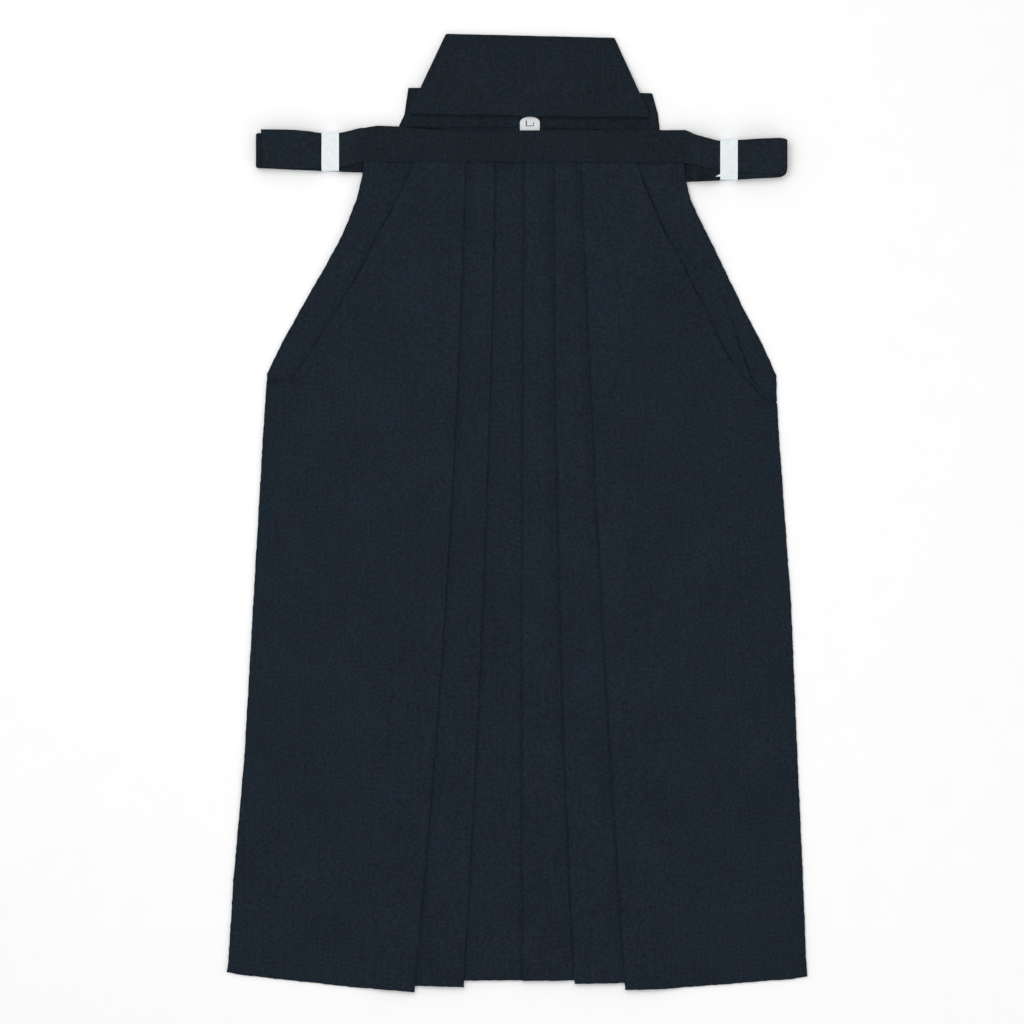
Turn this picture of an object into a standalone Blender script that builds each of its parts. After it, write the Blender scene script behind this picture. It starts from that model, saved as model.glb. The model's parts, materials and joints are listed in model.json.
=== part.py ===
"""Hakama trousers, laid flat on their back with the front up.

X runs across the garment, +X to the wearer's left, Y runs up towards the waist, and Z is up.
The origin is the middle of the bounding box, on the surface the garment lies on.
Sizes are in millimetres, and are scaled to metres as each mesh is made.
"""
import math

import bmesh
import bpy

MM = 0.001

# Cloth: every layer is a wall of this thickness, and the next layer lies a gap above it
CLOTH = 1.0
GAP = 0.3
PITCH = CLOTH + GAP
FOLD_RADIUS = CLOTH + GAP / 2
FOLD_STEPS = 3
CLEAR = 1.5

# Colour and roughness of each stuff. Faces that meet at more than the last angle keep a sharp edge
NAVY_TWILL = ((0.013, 0.020, 0.030), 0.85)
WHITE_PAPER = ((0.78, 0.80, 0.81), 0.6)
WHITE_PLASTIC = ((0.78, 0.80, 0.81), 0.35)
SHARP_DEGREES = 35.0

# Heights of the layers under the front
SPATULA_THICKNESS = 1.5
OVER_BACK = 3 * PITCH
OVER_GUSSET = OVER_BACK + PITCH
BAND_UNDERSIDE = OVER_BACK + SPATULA_THICKNESS + GAP
AT_WAIST = BAND_UNDERSIDE + PITCH
AT_SIDE = PITCH

# Heights along the garment, from the top edge of the front panels to the hem
PANEL_TOP = 418.0
WAIST = 389.0
PLEATS_FLAT = 309.0
SIDE_FLAT = 228.0
GUSSET_TOP = 60.0
MIDDLE = 3.0
GUSSET_FOOT = -96.0
BACK_BEND = -275.0
HEM = -530.0

# Gusset, and how the front comes down over its points
GUSSET_HALF_WIDTH = 52.0
GUSSET_CLEAR = 6.0
GUSSET_SLOPE = 39.0
PLATEAU_HEIGHTS = (
    GUSSET_TOP + GUSSET_CLEAR + GUSSET_SLOPE,
    GUSSET_TOP + GUSSET_CLEAR,
    GUSSET_FOOT - GUSSET_CLEAR,
    GUSSET_FOOT - GUSSET_CLEAR - GUSSET_SLOPE,
)

# Each fold edge's distance from the centre line, +X, at the waist, the middle and the hem
FOLD_EDGES = {
    "right_outer": (-56.9, -73.0, -114.3),
    "right_inner": (-23.4, -33.9, -59.3),
    "centre": (7.8, 5.6, 5.6),
    "left_inner": (41.3, 44.8, 64.3),
    "left_outer": (71.4, 88.6, 120.4),
}
LEG_FOLDS = {"right": ("right_outer", "right_inner"), "left": ("left_outer", "left_inner", "centre")}
# How much of the distance to the next fold lies hidden under each pleat
PLEAT_SHARE = 0.62

# Slopes across an outer panel: the length of each, and the most it takes of the panel's room
SIDE_SLOPE, SIDE_SLOPE_SHARE = 12.0, 0.2
PLATEAU_SLOPE, PLATEAU_SLOPE_SHARE = 25.0, 0.4
PLEAT_SLOPE, PLEAT_SLOPE_SHARE = 12.0, 0.25
# An outer panel with less room than the first stays up on its folds, and one with more comes down by the second
NARROW_ROOM, WIDE_ROOM = 16.0, 76.0

# Height, then the outward distance of the leg's edge and of its side fold
LEG_SIDES = {
    "right": (
        (PANEL_TOP, 169.5, 114.0),
        (WAIST, 171.2, 115.0),
        (375.6, 172.2, 122.0),
        (348.8, 178.8, 134.2),
        (PLEATS_FLAT, 194.7, 156.1),
        (268.5, 217.3, 176.2),
        (SIDE_FLAT, 240.6, 199.6),
        (188.3, 262.5, 225.3),
        (154.8, 278.8, 246.5),
        (145.9, 278.8, 255.0),
        (137.0, 278.8, 274.0),
        (133.0, 279.3, None),
        (95.0, 282.6, None),
        (BACK_BEND, 304.1, None),
        (-409.0, 316.1, None),
        (HEM, 323.6, None),
    ),
    "left": (
        (PANEL_TOP, 184.5, 131.0),
        (WAIST, 186.2, 134.4),
        (375.6, 186.9, 138.6),
        (348.8, 193.1, 149.6),
        (PLEATS_FLAT, 212.6, 167.0),
        (268.5, 232.5, 189.2),
        (SIDE_FLAT, 252.1, 209.6),
        (188.3, 273.4, 227.5),
        (152.6, 289.1, 250.9),
        (137.0, 289.3, 267.0),
        (121.0, 290.0, 286.0),
        (117.0, 290.2, None),
        (95.0, 291.3, None),
        (-102.0, 305.5, None),
        (BACK_BEND, 312.7, None),
        (-409.0, 318.8, None),
        (HEM, 323.4, None),
    ),
}
SIDE_FOLD_DEPTH_TOP, SIDE_FOLD_DEPTH_FOOT = 20.0, 7.0
# Places at the start of a front's rows that only its side fold has: two of its strip, all but one of two turns
FLAP_PLACES = 2 + 2 * (FOLD_STEPS + 1) - 1

# Hem of the outer panels: outward distance, height. Then each inner panel's height where it starts and ends
OUTER_HEMS = {
    "right": ((114.3, -533.5), (215.0, -526.2), (295.0, -517.6), (323.6, -511.7)),
    "left": ((120.4, -531.4), (159.4, -530.5), (226.0, -526.2), (300.0, -520.9), (323.4, -516.4)),
}
INNER_HEMS = {
    "right": ((-525.8, -528.2), (-520.9, -520.9)),
    "left": ((-523.0, -524.5), (-521.2, -520.9), (-521.2, -521.2)),
}

# Back panels
BACK_TOP_HALF_WIDTHS = {"right": 117.0, "left": 153.0}
BACK_INSET = 2.5
BACK_SEAM = 0.15
BACK_HEM_SIDE, BACK_HEM_INNER = -508.0, -517.0
BACK_PLEAT_CLEAR = 3.0

# Waistband: distance across, height of its top edge, and how far its face is lifted over the pleats
WAISTBAND = (
    (-171.0, 428.6, 0.0),
    (-155.0, 431.2, 0.1),
    (-133.0, 430.2, 0.8),
    (-120.0, 428.6, 1.0),
    (-86.0, 425.8, 1.0),
    (130.0, 425.9, 1.0),
    (139.5, 426.0, 1.0),
    (160.0, 426.2, 0.1),
    (186.0, 426.3, 0.0),
)
WAISTBAND_FOOT = (390.7, 389.4)
WAISTBAND_INNER_FOOT = 393.5
WAISTBAND_STEPS = 5
FACE_OVER_PLEATS = AT_WAIST + 3 * PITCH
FACE_OVER_SIDES = AT_WAIST + PITCH

# Front ties, folded in bundles beside the waist, in outward distances. Edges give the upper one, then the lower
TIE_RUNS = 12
BAND_THICKNESS = 0.5
BUNDLE_BASE = BAND_THICKNESS + GAP
RAMP = 20.0
PAST_FACE_BEND = 5.0
FRONT_TIES = {
    "right": {
        "start": 171.3,
        "inner": 174.2,
        "outer": 291.2,
        "edges_inner": (424.1, 379.5),
        "edges_outer": (426.8, 384.4),
        "face": ((171.3, 428.6, 390.6), (195.1, 424.8, 386.0), (291.2, 423.6, 384.8)),
        "band": (198.5, 217.9),
        "band_edges": (426.1, 380.3),
    },
    "left": {
        "start": 186.3,
        "inner": 189.5,
        "outer": 301.5,
        "edges_inner": (414.0, 369.0),
        "edges_outer": (416.2, 374.6),
        "face": ((186.3, 426.3, 389.4), (226.3, 415.6, 381.6), (301.5, 416.5, 376.5)),
        "band": (226.9, 245.9),
        "band_edges": (417.1, 370.2),
    },
}

# Back ties, folded in under the board
BACK_TIE_RUNS = 4
BACK_TIES = {
    "right": {
        "inner": -2.1,
        "outer": (121.3, 132.6),
        "edges_inner": (473.5, 429.1),
        "edges_outer": (473.5, 429.1),
    },
    "left": {
        "inner": 26.4,
        "outer": (150.5, 159.0),
        "edges_inner": (473.0, 429.1),
        "edges_outer": (467.4, 427.5),
    },
}

# Board: a stiff trapezoid that leans on the back ties
BOARD_CORNERS = ((-121.5, 443.5), (149.4, 439.1), (108.7, 529.4), (-79.2, 533.9))
BOARD_THICKNESS = 5.0
BOARD_CORNER_RADIUS, BOARD_CORNER_STEPS = 2.5, 3
BOARD_REST = BACK_TIE_RUNS * PITCH + 0.1
BOARD_REST_DISTANCE = 58.5

# Spatula
SPATULA_CENTRE = 14.3
SPATULA_WIDTH = 22.2
SPATULA_TOP, SPATULA_FOOT = 441.4, 381.0
SPATULA_TOP_ROUNDING, SPATULA_FOOT_ROUNDING = 6.5, 11.0
SPATULA_ARC_STEPS = 10


def interpolate(at, table, column=1):
    """The value in a column of a table whose first column rises or falls steadily."""
    rows = sorted(table, key=lambda row: row[0])
    if at <= rows[0][0]:
        return rows[0][column]
    for low, high in zip(rows, rows[1:]):
        if at <= high[0]:
            share = (at - low[0]) / (high[0] - low[0])
            return low[column] + share * (high[column] - low[column])
    return rows[-1][column]


def smooth(share):
    share = min(max(share, 0.0), 1.0)
    return share * share * (3 - 2 * share)


def fold_edge(name, height):
    """A fold edge's place on a parabola through its three given places."""
    waist, middle, hem = FOLD_EDGES[name]
    return (
        waist * (height - MIDDLE) * (height - HEM) / ((WAIST - MIDDLE) * (WAIST - HEM))
        + middle * (height - WAIST) * (height - HEM) / ((MIDDLE - WAIST) * (MIDDLE - HEM))
        + hem * (height - WAIST) * (height - MIDDLE) / ((HEM - WAIST) * (HEM - MIDDLE))
    )


def plateau(height):
    """The underside of the pleated part of the front, over the back's pleat and the gusset."""
    over = (OVER_BACK, OVER_GUSSET, OVER_GUSSET, OVER_BACK)
    return interpolate(height, ((WAIST, AT_WAIST), (PLEATS_FLAT, OVER_BACK), *zip(PLATEAU_HEIGHTS, over)))


def sides_base(height):
    """The underside of the front beside the pleats, which comes down to the back panel."""
    return interpolate(height, ((WAIST, AT_WAIST), (SIDE_FLAT, AT_SIDE)))


class ClothRow:
    """One row across a cloth, walked from its first edge to its last: a pair of points at each place."""

    def __init__(self, level=0, face_up=True):
        self.level = level
        self.face_up = face_up
        self.places = []

    def lie(self, across, base, along):
        low = (across, base + self.level * PITCH, along)
        high = (across, base + self.level * PITCH + CLOTH, along)
        self.places.append((high, low) if self.face_up else (low, high))

    def turn(self, across, base, along, toward, level):
        """Fold the cloth over, round an edge that bulges toward +1 or -1, to the level above or below."""
        self.lie(across, base, along)
        rising = level > self.level
        middle = base + max(level, self.level) * PITCH - GAP / 2
        face_outside = self.face_up != rising
        for step in range(1, FOLD_STEPS):
            angle = math.pi * step / FOLD_STEPS - math.pi / 2
            reach, lift = math.cos(angle) * toward, math.sin(angle) * (1 if rising else -1)
            outer = (across + FOLD_RADIUS * reach, middle + FOLD_RADIUS * lift, along)
            inner = (across + GAP / 2 * reach, middle + GAP / 2 * lift, along)
            self.places.append((outer, inner) if face_outside else (inner, outer))
        self.level = level
        self.face_up = not self.face_up
        self.lie(across, base, along)


def new_material(name, finish):
    colour, roughness = finish
    material = bpy.data.materials.new(name)
    material.use_nodes = True
    shader = material.node_tree.nodes["Principled BSDF"]
    shader.inputs["Base Color"].default_value = (*colour, 1.0)
    shader.inputs["Roughness"].default_value = roughness
    shader.inputs["Metallic"].default_value = 0.0
    return material


def new_object(name, points, faces, finish):
    """A mesh object from points in millimetres, closed and facing out, with its own material."""
    shape = bmesh.new()
    corners = [shape.verts.new((x * MM, y * MM, z * MM)) for x, y, z in points]
    for face in faces:
        shape.faces.new([corners[index] for index in face])
    bmesh.ops.recalc_face_normals(shape, faces=shape.faces)
    if shape.calc_volume(signed=True) < 0:
        bmesh.ops.reverse_faces(shape, faces=shape.faces)
    mesh = bpy.data.meshes.new(name)
    shape.to_mesh(mesh)
    shape.free()
    mesh.shade_smooth()
    mesh.set_sharp_from_angle(angle=math.radians(SHARP_DEGREES))
    mesh.materials.append(new_material(name, finish))
    thing = bpy.data.objects.new(name, mesh)
    bpy.context.scene.collection.objects.link(thing)
    return thing


def cloth(name, rows, place, flap_places=0, flap_rows=0):
    """A cloth wall through rows of places.

    The first flap_places of each row end after flap_rows rows, so a flap may stop part of the way down.
    """
    points = []
    index = {}
    for row_number, row in enumerate(rows):
        for number, pair in enumerate(row):
            if pair is not None:
                for side, point in enumerate(pair):
                    index[row_number, number, side] = len(points)
                    points.append(place(*point))

    def present(row_number, number):
        inside = 0 <= row_number < len(rows) - 1 and 0 <= number < len(rows[0]) - 1
        return inside and (number >= flap_places or row_number < flap_rows - 1)

    faces = []
    for row_number in range(len(rows) - 1):
        for number in range(len(rows[0]) - 1):
            if not present(row_number, number):
                continue
            here, right = (row_number, number), (row_number, number + 1)
            below, across = (row_number + 1, number), (row_number + 1, number + 1)
            forward = rows[row_number][number + 1][0][0] >= rows[row_number][number][0][0]
            for side in (0, 1):
                if forward:
                    split = ((here, below, across), (here, across, right))
                else:
                    split = ((here, below, right), (below, across, right))
                faces += [[index[(*corner, side)] for corner in face] for face in split]
            for one, two, neighbour in (
                (here, right, (row_number - 1, number)),
                (below, across, (row_number + 1, number)),
                (here, below, (row_number, number - 1)),
                (right, across, (row_number, number + 1)),
            ):
                if not present(*neighbour):
                    faces.append([index[(*one, 0)], index[(*two, 0)], index[(*two, 1)], index[(*one, 1)]])
    return new_object(name, points, faces, NAVY_TWILL)


def slit_rows(side):
    """The rows of a leg's side table that have a side fold, from the top down."""
    return [entry for entry in LEG_SIDES[side] if entry[2] is not None]


def front_folds(side, height):
    """Each pleat's fold edge and hidden depth, from the side to the centre, in distances that rise inward."""
    mirror = 1 if side == "right" else -1
    edges = [mirror * fold_edge(name, height) for name in LEG_FOLDS[side]]
    spacings = [edges[1] - edges[0]] + [after - before for before, after in zip(edges, edges[1:])]
    return [(edge, PLEAT_SHARE * spacing) for edge, spacing in zip(edges, spacings)]


def centre_end(height):
    """Where the lowest centre panel ends, under the centre fold."""
    edge, depth = front_folds("left", height)[-1]
    return -(edge - depth)


def outer_panel_places(side, height, start):
    """Where the outer panel turns level, between its start and its first pleat."""
    edge, depth = front_folds(side, height)[0]
    level_end = edge - depth - CLEAR
    room = level_end - start
    plateau_edge = level_end - min(PLEAT_SLOPE, PLEAT_SLOPE_SHARE * room)
    return {
        "room": room,
        "side_slope_end": start + min(SIDE_SLOPE, SIDE_SLOPE_SHARE * room),
        "plateau_foot": plateau_edge - min(PLATEAU_SLOPE, PLATEAU_SLOPE_SHARE * room),
        "plateau_edge": plateau_edge,
        "level_end": level_end,
    }


def side_fold(row, side, height, edge, fold):
    """The slanting fold beside the side slit: the strip beside it, then three layers. Returns where it ends."""
    low = sides_base(height)
    top, foot = slit_rows(side)[0][0], slit_rows(side)[-1][0]
    share = (height - foot) / (top - foot)
    depth = SIDE_FOLD_DEPTH_FOOT + share * (SIDE_FOLD_DEPTH_TOP - SIDE_FOLD_DEPTH_FOOT)
    turn, inner = -fold + FOLD_RADIUS, -fold + depth - FOLD_RADIUS
    row.lie(-edge, low, height)
    row.lie(turn, low, height)
    row.turn(inner, low, height, 1, 1)
    row.turn(turn, low, height, -1, 2)
    row.lie(inner, low, height)
    return -fold + depth + CLEAR


def outer_panel(row, side, height, start, along):
    """The outer panel, from beside the side up to where it lies level by its first pleat."""
    low, high = sides_base(height), plateau(height)
    places = outer_panel_places(side, height, start)
    between = 2 * (1 - smooth((places["room"] - NARROW_ROOM) / (WIDE_ROOM - NARROW_ROOM)))
    row.lie(start, low, along(start))
    for name, level, base in (
        ("side_slope_end", between, low),
        ("plateau_foot", between, low),
        ("plateau_edge", between, high),
        ("level_end", 2, high),
    ):
        row.level = level
        row.lie(places[name], base, along(places[name]))


def pleats(row, side, height, at_hem, along):
    """The pleats, from the side's to the centre's. Each folds under and comes out again below."""
    high = plateau(height)
    folds = front_folds(side, height)
    for number, (edge, depth) in enumerate(folds):
        turn, inner = edge - FOLD_RADIUS, edge - depth + FOLD_RADIUS
        last = number == len(folds) - 1
        first_hem, last_hem = INNER_HEMS[side][number]
        row.lie(inner, high, along(inner))
        row.turn(turn, high, along(turn), 1, 1)
        if last and side == "left":
            row.lie(edge - depth, high, first_hem if at_hem else height)
            return
        row.turn(inner, high, first_hem if at_hem else height, -1, 0)
        end = centre_end(height) if last else folds[number + 1][0]

        def panel_along(across, start=inner, end=end, first=first_hem, final=last_hem):
            share = (across - start) / (end - start)
            return first + share * (final - first) if at_hem else height

        along = panel_along
        row.lie(turn, high, along(turn))
        if last:
            row.lie(end, high, along(end))
            return
        row.lie(edge + CLEAR, high, along(edge + CLEAR))
        row.level = 2
        level_start = end - folds[number + 1][1] - CLEAR
        row.lie(level_start, high, along(level_start))


def front_row(side, height, edge, fold):
    """One row of a front leg, from its outer edge to the centre."""
    at_hem = height == HEM

    def along(across):
        return interpolate(-across, OUTER_HEMS[side]) if at_hem else height

    row = ClothRow()
    if fold is None:
        row.places = [None] * FLAP_PLACES
        for across in (-edge, -edge + CLEAR):
            row.lie(across, sides_base(height), along(across))
        start = -edge + 2 * CLEAR
    else:
        start = side_fold(row, side, height, edge, fold)
    outer_panel(row, side, height, start, along)
    pleats(row, side, height, at_hem, along)
    return row.places


def with_plateau_heights(table):
    """A side table with the rows at which the plateau changes slope added."""
    rows = {entry[0]: entry for entry in table}
    for height in PLATEAU_HEIGHTS:
        rows[height] = (height, interpolate(height, table), None)
    return sorted(rows.values(), reverse=True)


def front_leg(side):
    mirror = 1 if side == "right" else -1
    rows = [front_row(side, *entry) for entry in with_plateau_heights(LEG_SIDES[side])]
    return cloth(
        f"front_{side}_leg",
        rows,
        lambda across, up, along: (mirror * across, along, up),
        FLAP_PLACES,
        len(slit_rows(side)),
    )


def back_top(side, across):
    """The height of the back's top edge, just below the back ties."""
    tie = BACK_TIES[side]
    inner, outer = tie["edges_inner"][1], tie["edges_outer"][1]
    share = max(across - tie["inner"], 0.0) / (tie["outer"][1] - tie["inner"])
    return inner + share * (outer - inner) - GAP


def back_edge(side, height):
    """The outward distance of a back panel's edge: straight beside the slit, then just inside the front's."""
    slit = slit_rows(side)[-1][0]
    foot = interpolate(min(height, slit), LEG_SIDES[side]) - BACK_INSET
    rise = max(height - slit, 0.0) / (PANEL_TOP - slit)
    return foot + rise * (BACK_TOP_HALF_WIDTHS[side] - foot)


def back_row(side, height):
    """One row of a back panel: the outer layer on the floor, turned in at the centre and back to the seam."""
    edge = back_edge(side, height)
    depth = -outer_panel_places(side, height, -edge)["plateau_edge"] - BACK_PLEAT_CLEAR
    depth = min(depth, edge - 4 * FOLD_RADIUS)

    def along(across):
        if height == PANEL_TOP:
            return back_top(side, -across)
        if height == HEM:
            return BACK_HEM_INNER - across / edge * (BACK_HEM_SIDE - BACK_HEM_INNER)
        return height

    row = ClothRow(face_up=False)
    centre, inner = -BACK_SEAM - FOLD_RADIUS, -depth + FOLD_RADIUS
    row.lie(-edge, 0.0, along(-edge))
    row.lie(inner, 0.0, along(inner))
    row.turn(centre, 0.0, along(centre), 1, 1)
    row.turn(inner, 0.0, along(inner), -1, 2)
    row.lie(-BACK_SEAM, 0.0, along(-BACK_SEAM))
    return row.places


def back_leg(side):
    mirror = 1 if side == "right" else -1
    heights = (PANEL_TOP, PLEATS_FLAT, slit_rows(side)[-1][0], GUSSET_TOP, BACK_BEND, HEM)
    rows = [back_row(side, height) for height in heights]
    return cloth(f"back_{side}_leg", rows, lambda across, up, along: (mirror * across, along, up))


def plate(name, outline, thickness, under, finish):
    """A flat piece: an outline in X and Y, with its underside at a height that under() gives."""
    count = len(outline)
    points = [(x, y, under(x, y)) for x, y in outline]
    points += [(x, y, z + thickness) for x, y, z in points]
    faces = [list(range(count)), list(range(count, 2 * count))]
    faces += [[i, (i + 1) % count, count + (i + 1) % count, count + i] for i in range(count)]
    return new_object(name, points, faces, finish)


def gusset():
    middle = (GUSSET_TOP + GUSSET_FOOT) / 2
    outline = (
        (0.0, GUSSET_TOP),
        (-GUSSET_HALF_WIDTH, middle),
        (0.0, GUSSET_FOOT),
        (GUSSET_HALF_WIDTH, middle),
    )
    return plate("gusset", outline, CLOTH, lambda x, y: OVER_BACK, NAVY_TWILL)


def waistband_row(across, top, lift, foot):
    """The waistband's section at one place: its face, the turn over the front's top edge, and its inner part."""
    face = FACE_OVER_SIDES + lift * (FACE_OVER_PLEATS - FACE_OVER_SIDES) + CLOTH
    radius = (face - BAND_UNDERSIDE) / 2
    middle = BAND_UNDERSIDE + radius
    turn = top - radius
    places = [((foot, face, across), (foot, face - CLOTH, across))]
    for step in range(WAISTBAND_STEPS + 1):
        angle = math.pi / 2 - math.pi * step / WAISTBAND_STEPS
        reach, rise = math.cos(angle), math.sin(angle)
        outer = (turn + radius * reach, middle + radius * rise, across)
        inner = (turn + (radius - CLOTH) * reach, middle + (radius - CLOTH) * rise, across)
        places.append((outer, inner))
    inner_face = BAND_UNDERSIDE + CLOTH
    places.append(((WAISTBAND_INNER_FOOT, BAND_UNDERSIDE, across), (WAISTBAND_INNER_FOOT, inner_face, across)))
    return places


def front_waistband():
    """The stretch of the front tie across the waist, folded over the front's top edge."""
    ends = ((WAISTBAND[0][0], WAISTBAND_FOOT[0]), (WAISTBAND[-1][0], WAISTBAND_FOOT[1]))
    rows = [waistband_row(across, top, lift, interpolate(across, ends)) for across, top, lift in WAISTBAND]
    return cloth("front_waistband", rows, lambda along, up, across: (across, along, up))


def front_tie_row(tie, edge):
    """One long edge of a front tie: down the ramp from the waistband, then to and fro in the bundle."""

    def bundle_along(across):
        share = (across - tie["inner"]) / (tie["outer"] - tie["inner"])
        inner, outer = tie["edges_inner"][edge], tie["edges_outer"][edge]
        return inner + share * (outer - inner)

    def face_along(across):
        return interpolate(across, tie["face"], 1 + edge)

    top_level = TIE_RUNS - 1
    ramp_rise = BUNDLE_BASE + top_level * PITCH - FACE_OVER_SIDES
    outer_turn = tie["outer"] - FOLD_RADIUS
    row = ClothRow(level=(FACE_OVER_SIDES - BUNDLE_BASE) / PITCH)
    for across in (tie["start"], tie["start"] + GAP):
        row.lie(across, BUNDLE_BASE, face_along(across))
    row.level = top_level
    for across in (tie["start"] + RAMP, tie["face"][1][0] + PAST_FACE_BEND):
        row.lie(across, BUNDLE_BASE, face_along(across))
    along = face_along
    for level in range(top_level - 1, 0, -2):
        row.turn(outer_turn, BUNDLE_BASE, along(outer_turn), 1, level)
        rise = (BUNDLE_BASE + (level + 1) * PITCH - FACE_OVER_SIDES) / ramp_rise
        inner = max(tie["inner"], tie["start"] + rise * RAMP + CLEAR)
        along = bundle_along
        row.turn(inner + FOLD_RADIUS, BUNDLE_BASE, along(inner), -1, level - 1)
    row.turn(outer_turn, BUNDLE_BASE, along(outer_turn), 1, 0)
    row.lie(tie["inner"] + PITCH, BUNDLE_BASE, along(tie["inner"] + PITCH))
    return row.places


def front_tie(side):
    mirror = -1 if side == "right" else 1
    rows = [front_tie_row(FRONT_TIES[side], edge) for edge in (0, 1)]
    return cloth(f"front_tie_{side}", rows, lambda across, up, along: (mirror * across, along, up))


def back_tie(side):
    """A back tie, folded to and fro under the board, with slanting outer folds."""
    tie = BACK_TIES[side]
    mirror = -1 if side == "right" else 1
    inner_turn = tie["inner"] + FOLD_RADIUS
    rows = []
    for outer, inner_along, outer_along in zip(tie["outer"], tie["edges_inner"], tie["edges_outer"]):
        row = ClothRow()
        row.lie(inner_turn, 0.0, inner_along)
        for level in range(1, BACK_TIE_RUNS):
            if level % 2:
                row.turn(outer - FOLD_RADIUS, 0.0, outer_along, 1, level)
            else:
                row.turn(inner_turn, 0.0, inner_along, -1, level)
        row.lie(inner_turn, 0.0, inner_along)
        rows.append(row.places)
    return cloth(f"back_tie_{side}", rows, lambda across, up, along: (mirror * across, along, up))


def tie_band(side):
    """The band round a folded tie: a thin ring of rectangular section."""
    tie = FRONT_TIES[side]
    mirror = -1 if side == "right" else 1
    top, foot = tie["band_edges"]
    ceiling = BUNDLE_BASE + TIE_RUNS * PITCH

    def section(grow):
        low, high = foot - grow, top + grow
        floor, roof = BAND_THICKNESS - grow, ceiling + grow
        return [(low, floor), (high, floor), (high, roof), (low, roof)]

    inner, outer = section(0.0), section(BAND_THICKNESS)
    count = len(inner)
    points = []
    for across in tie["band"]:
        points += [(mirror * across, along, up) for along, up in inner + outer]
    near, far = 0, 2 * count
    faces = []
    for i in range(count):
        j = (i + 1) % count
        faces.append([near + i, near + j, far + j, far + i])
        faces.append([near + count + i, near + count + j, far + count + j, far + count + i])
        for end in (near, far):
            faces.append([end + i, end + j, end + count + j, end + count + i])
    return new_object(f"tie_band_{side}", points, faces, WHITE_PAPER)


def back_board():
    """The board, its top edge on the floor and its face leaning on the back ties, with rounded corners."""
    top_right, top_left = BOARD_CORNERS[2:]
    slope = BOARD_REST / BOARD_REST_DISTANCE
    edge_x, edge_y = top_right[0] - top_left[0], top_right[1] - top_left[1]
    length = math.hypot(edge_x, edge_y)

    def under(x, y):
        distance = ((x - top_left[0]) * edge_y - (y - top_left[1]) * edge_x) / length
        return max(distance, 0.0) * slope

    thing = plate("back_board", BOARD_CORNERS, BOARD_THICKNESS, under, NAVY_TWILL)
    shape = bmesh.new()
    shape.from_mesh(thing.data)
    bmesh.ops.bevel(
        shape,
        geom=[edge for edge in shape.edges if math.dist(edge.verts[0].co.xy, edge.verts[1].co.xy) < MM],
        offset=BOARD_CORNER_RADIUS * MM,
        segments=BOARD_CORNER_STEPS,
        affect="EDGES",
        profile=0.5,
    )
    shape.to_mesh(thing.data)
    shape.free()
    return thing


def spatula():
    half = SPATULA_WIDTH / 2
    outline = []
    for start, centre, rounding in (
        (0.0, SPATULA_TOP - SPATULA_TOP_ROUNDING, SPATULA_TOP_ROUNDING),
        (math.pi, SPATULA_FOOT + SPATULA_FOOT_ROUNDING, SPATULA_FOOT_ROUNDING),
    ):
        for step in range(SPATULA_ARC_STEPS + 1):
            angle = start + math.pi * step / SPATULA_ARC_STEPS
            outline.append((SPATULA_CENTRE + half * math.cos(angle), centre + rounding * math.sin(angle)))
    return plate("spatula", outline, SPATULA_THICKNESS, lambda x, y: OVER_BACK, WHITE_PLASTIC)


def centre_on_origin(things):
    """Move every mesh so that the whole box is centred on the origin and stands on Z = 0."""
    corners = [vertex.co for thing in things for vertex in thing.data.vertices]
    low = [min(corner[axis] for corner in corners) for axis in range(3)]
    high = [max(corner[axis] for corner in corners) for axis in range(3)]
    shift = [(low[0] + high[0]) / 2, (low[1] + high[1]) / 2, low[2]]
    for thing in things:
        for vertex in thing.data.vertices:
            vertex.co = [vertex.co[axis] - shift[axis] for axis in range(3)]


def main():
    for thing in list(bpy.data.objects):
        bpy.data.objects.remove(thing)
    things = [gusset(), front_waistband(), back_board(), spatula()]
    for side in ("right", "left"):
        things += [front_leg(side), back_leg(side), front_tie(side), back_tie(side), tie_band(side)]
    centre_on_origin(things)


main()
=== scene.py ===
"""Hakama trousers laid flat with the front up: cloth, thread, paper bands, board and spatula as they look.

The tables are in millimetres, outward or upward from the garment's centre, as a maker lays it out.
Right and left are the wearer's. Each operator makes one piece, or one pair of like pieces.
"""
import json
import math

import bmesh
import bpy
import numpy as np
from bpy.props import FloatProperty, FloatVectorProperty, IntProperty, PointerProperty
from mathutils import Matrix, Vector
from mathutils.bvhtree import BVHTree

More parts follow.
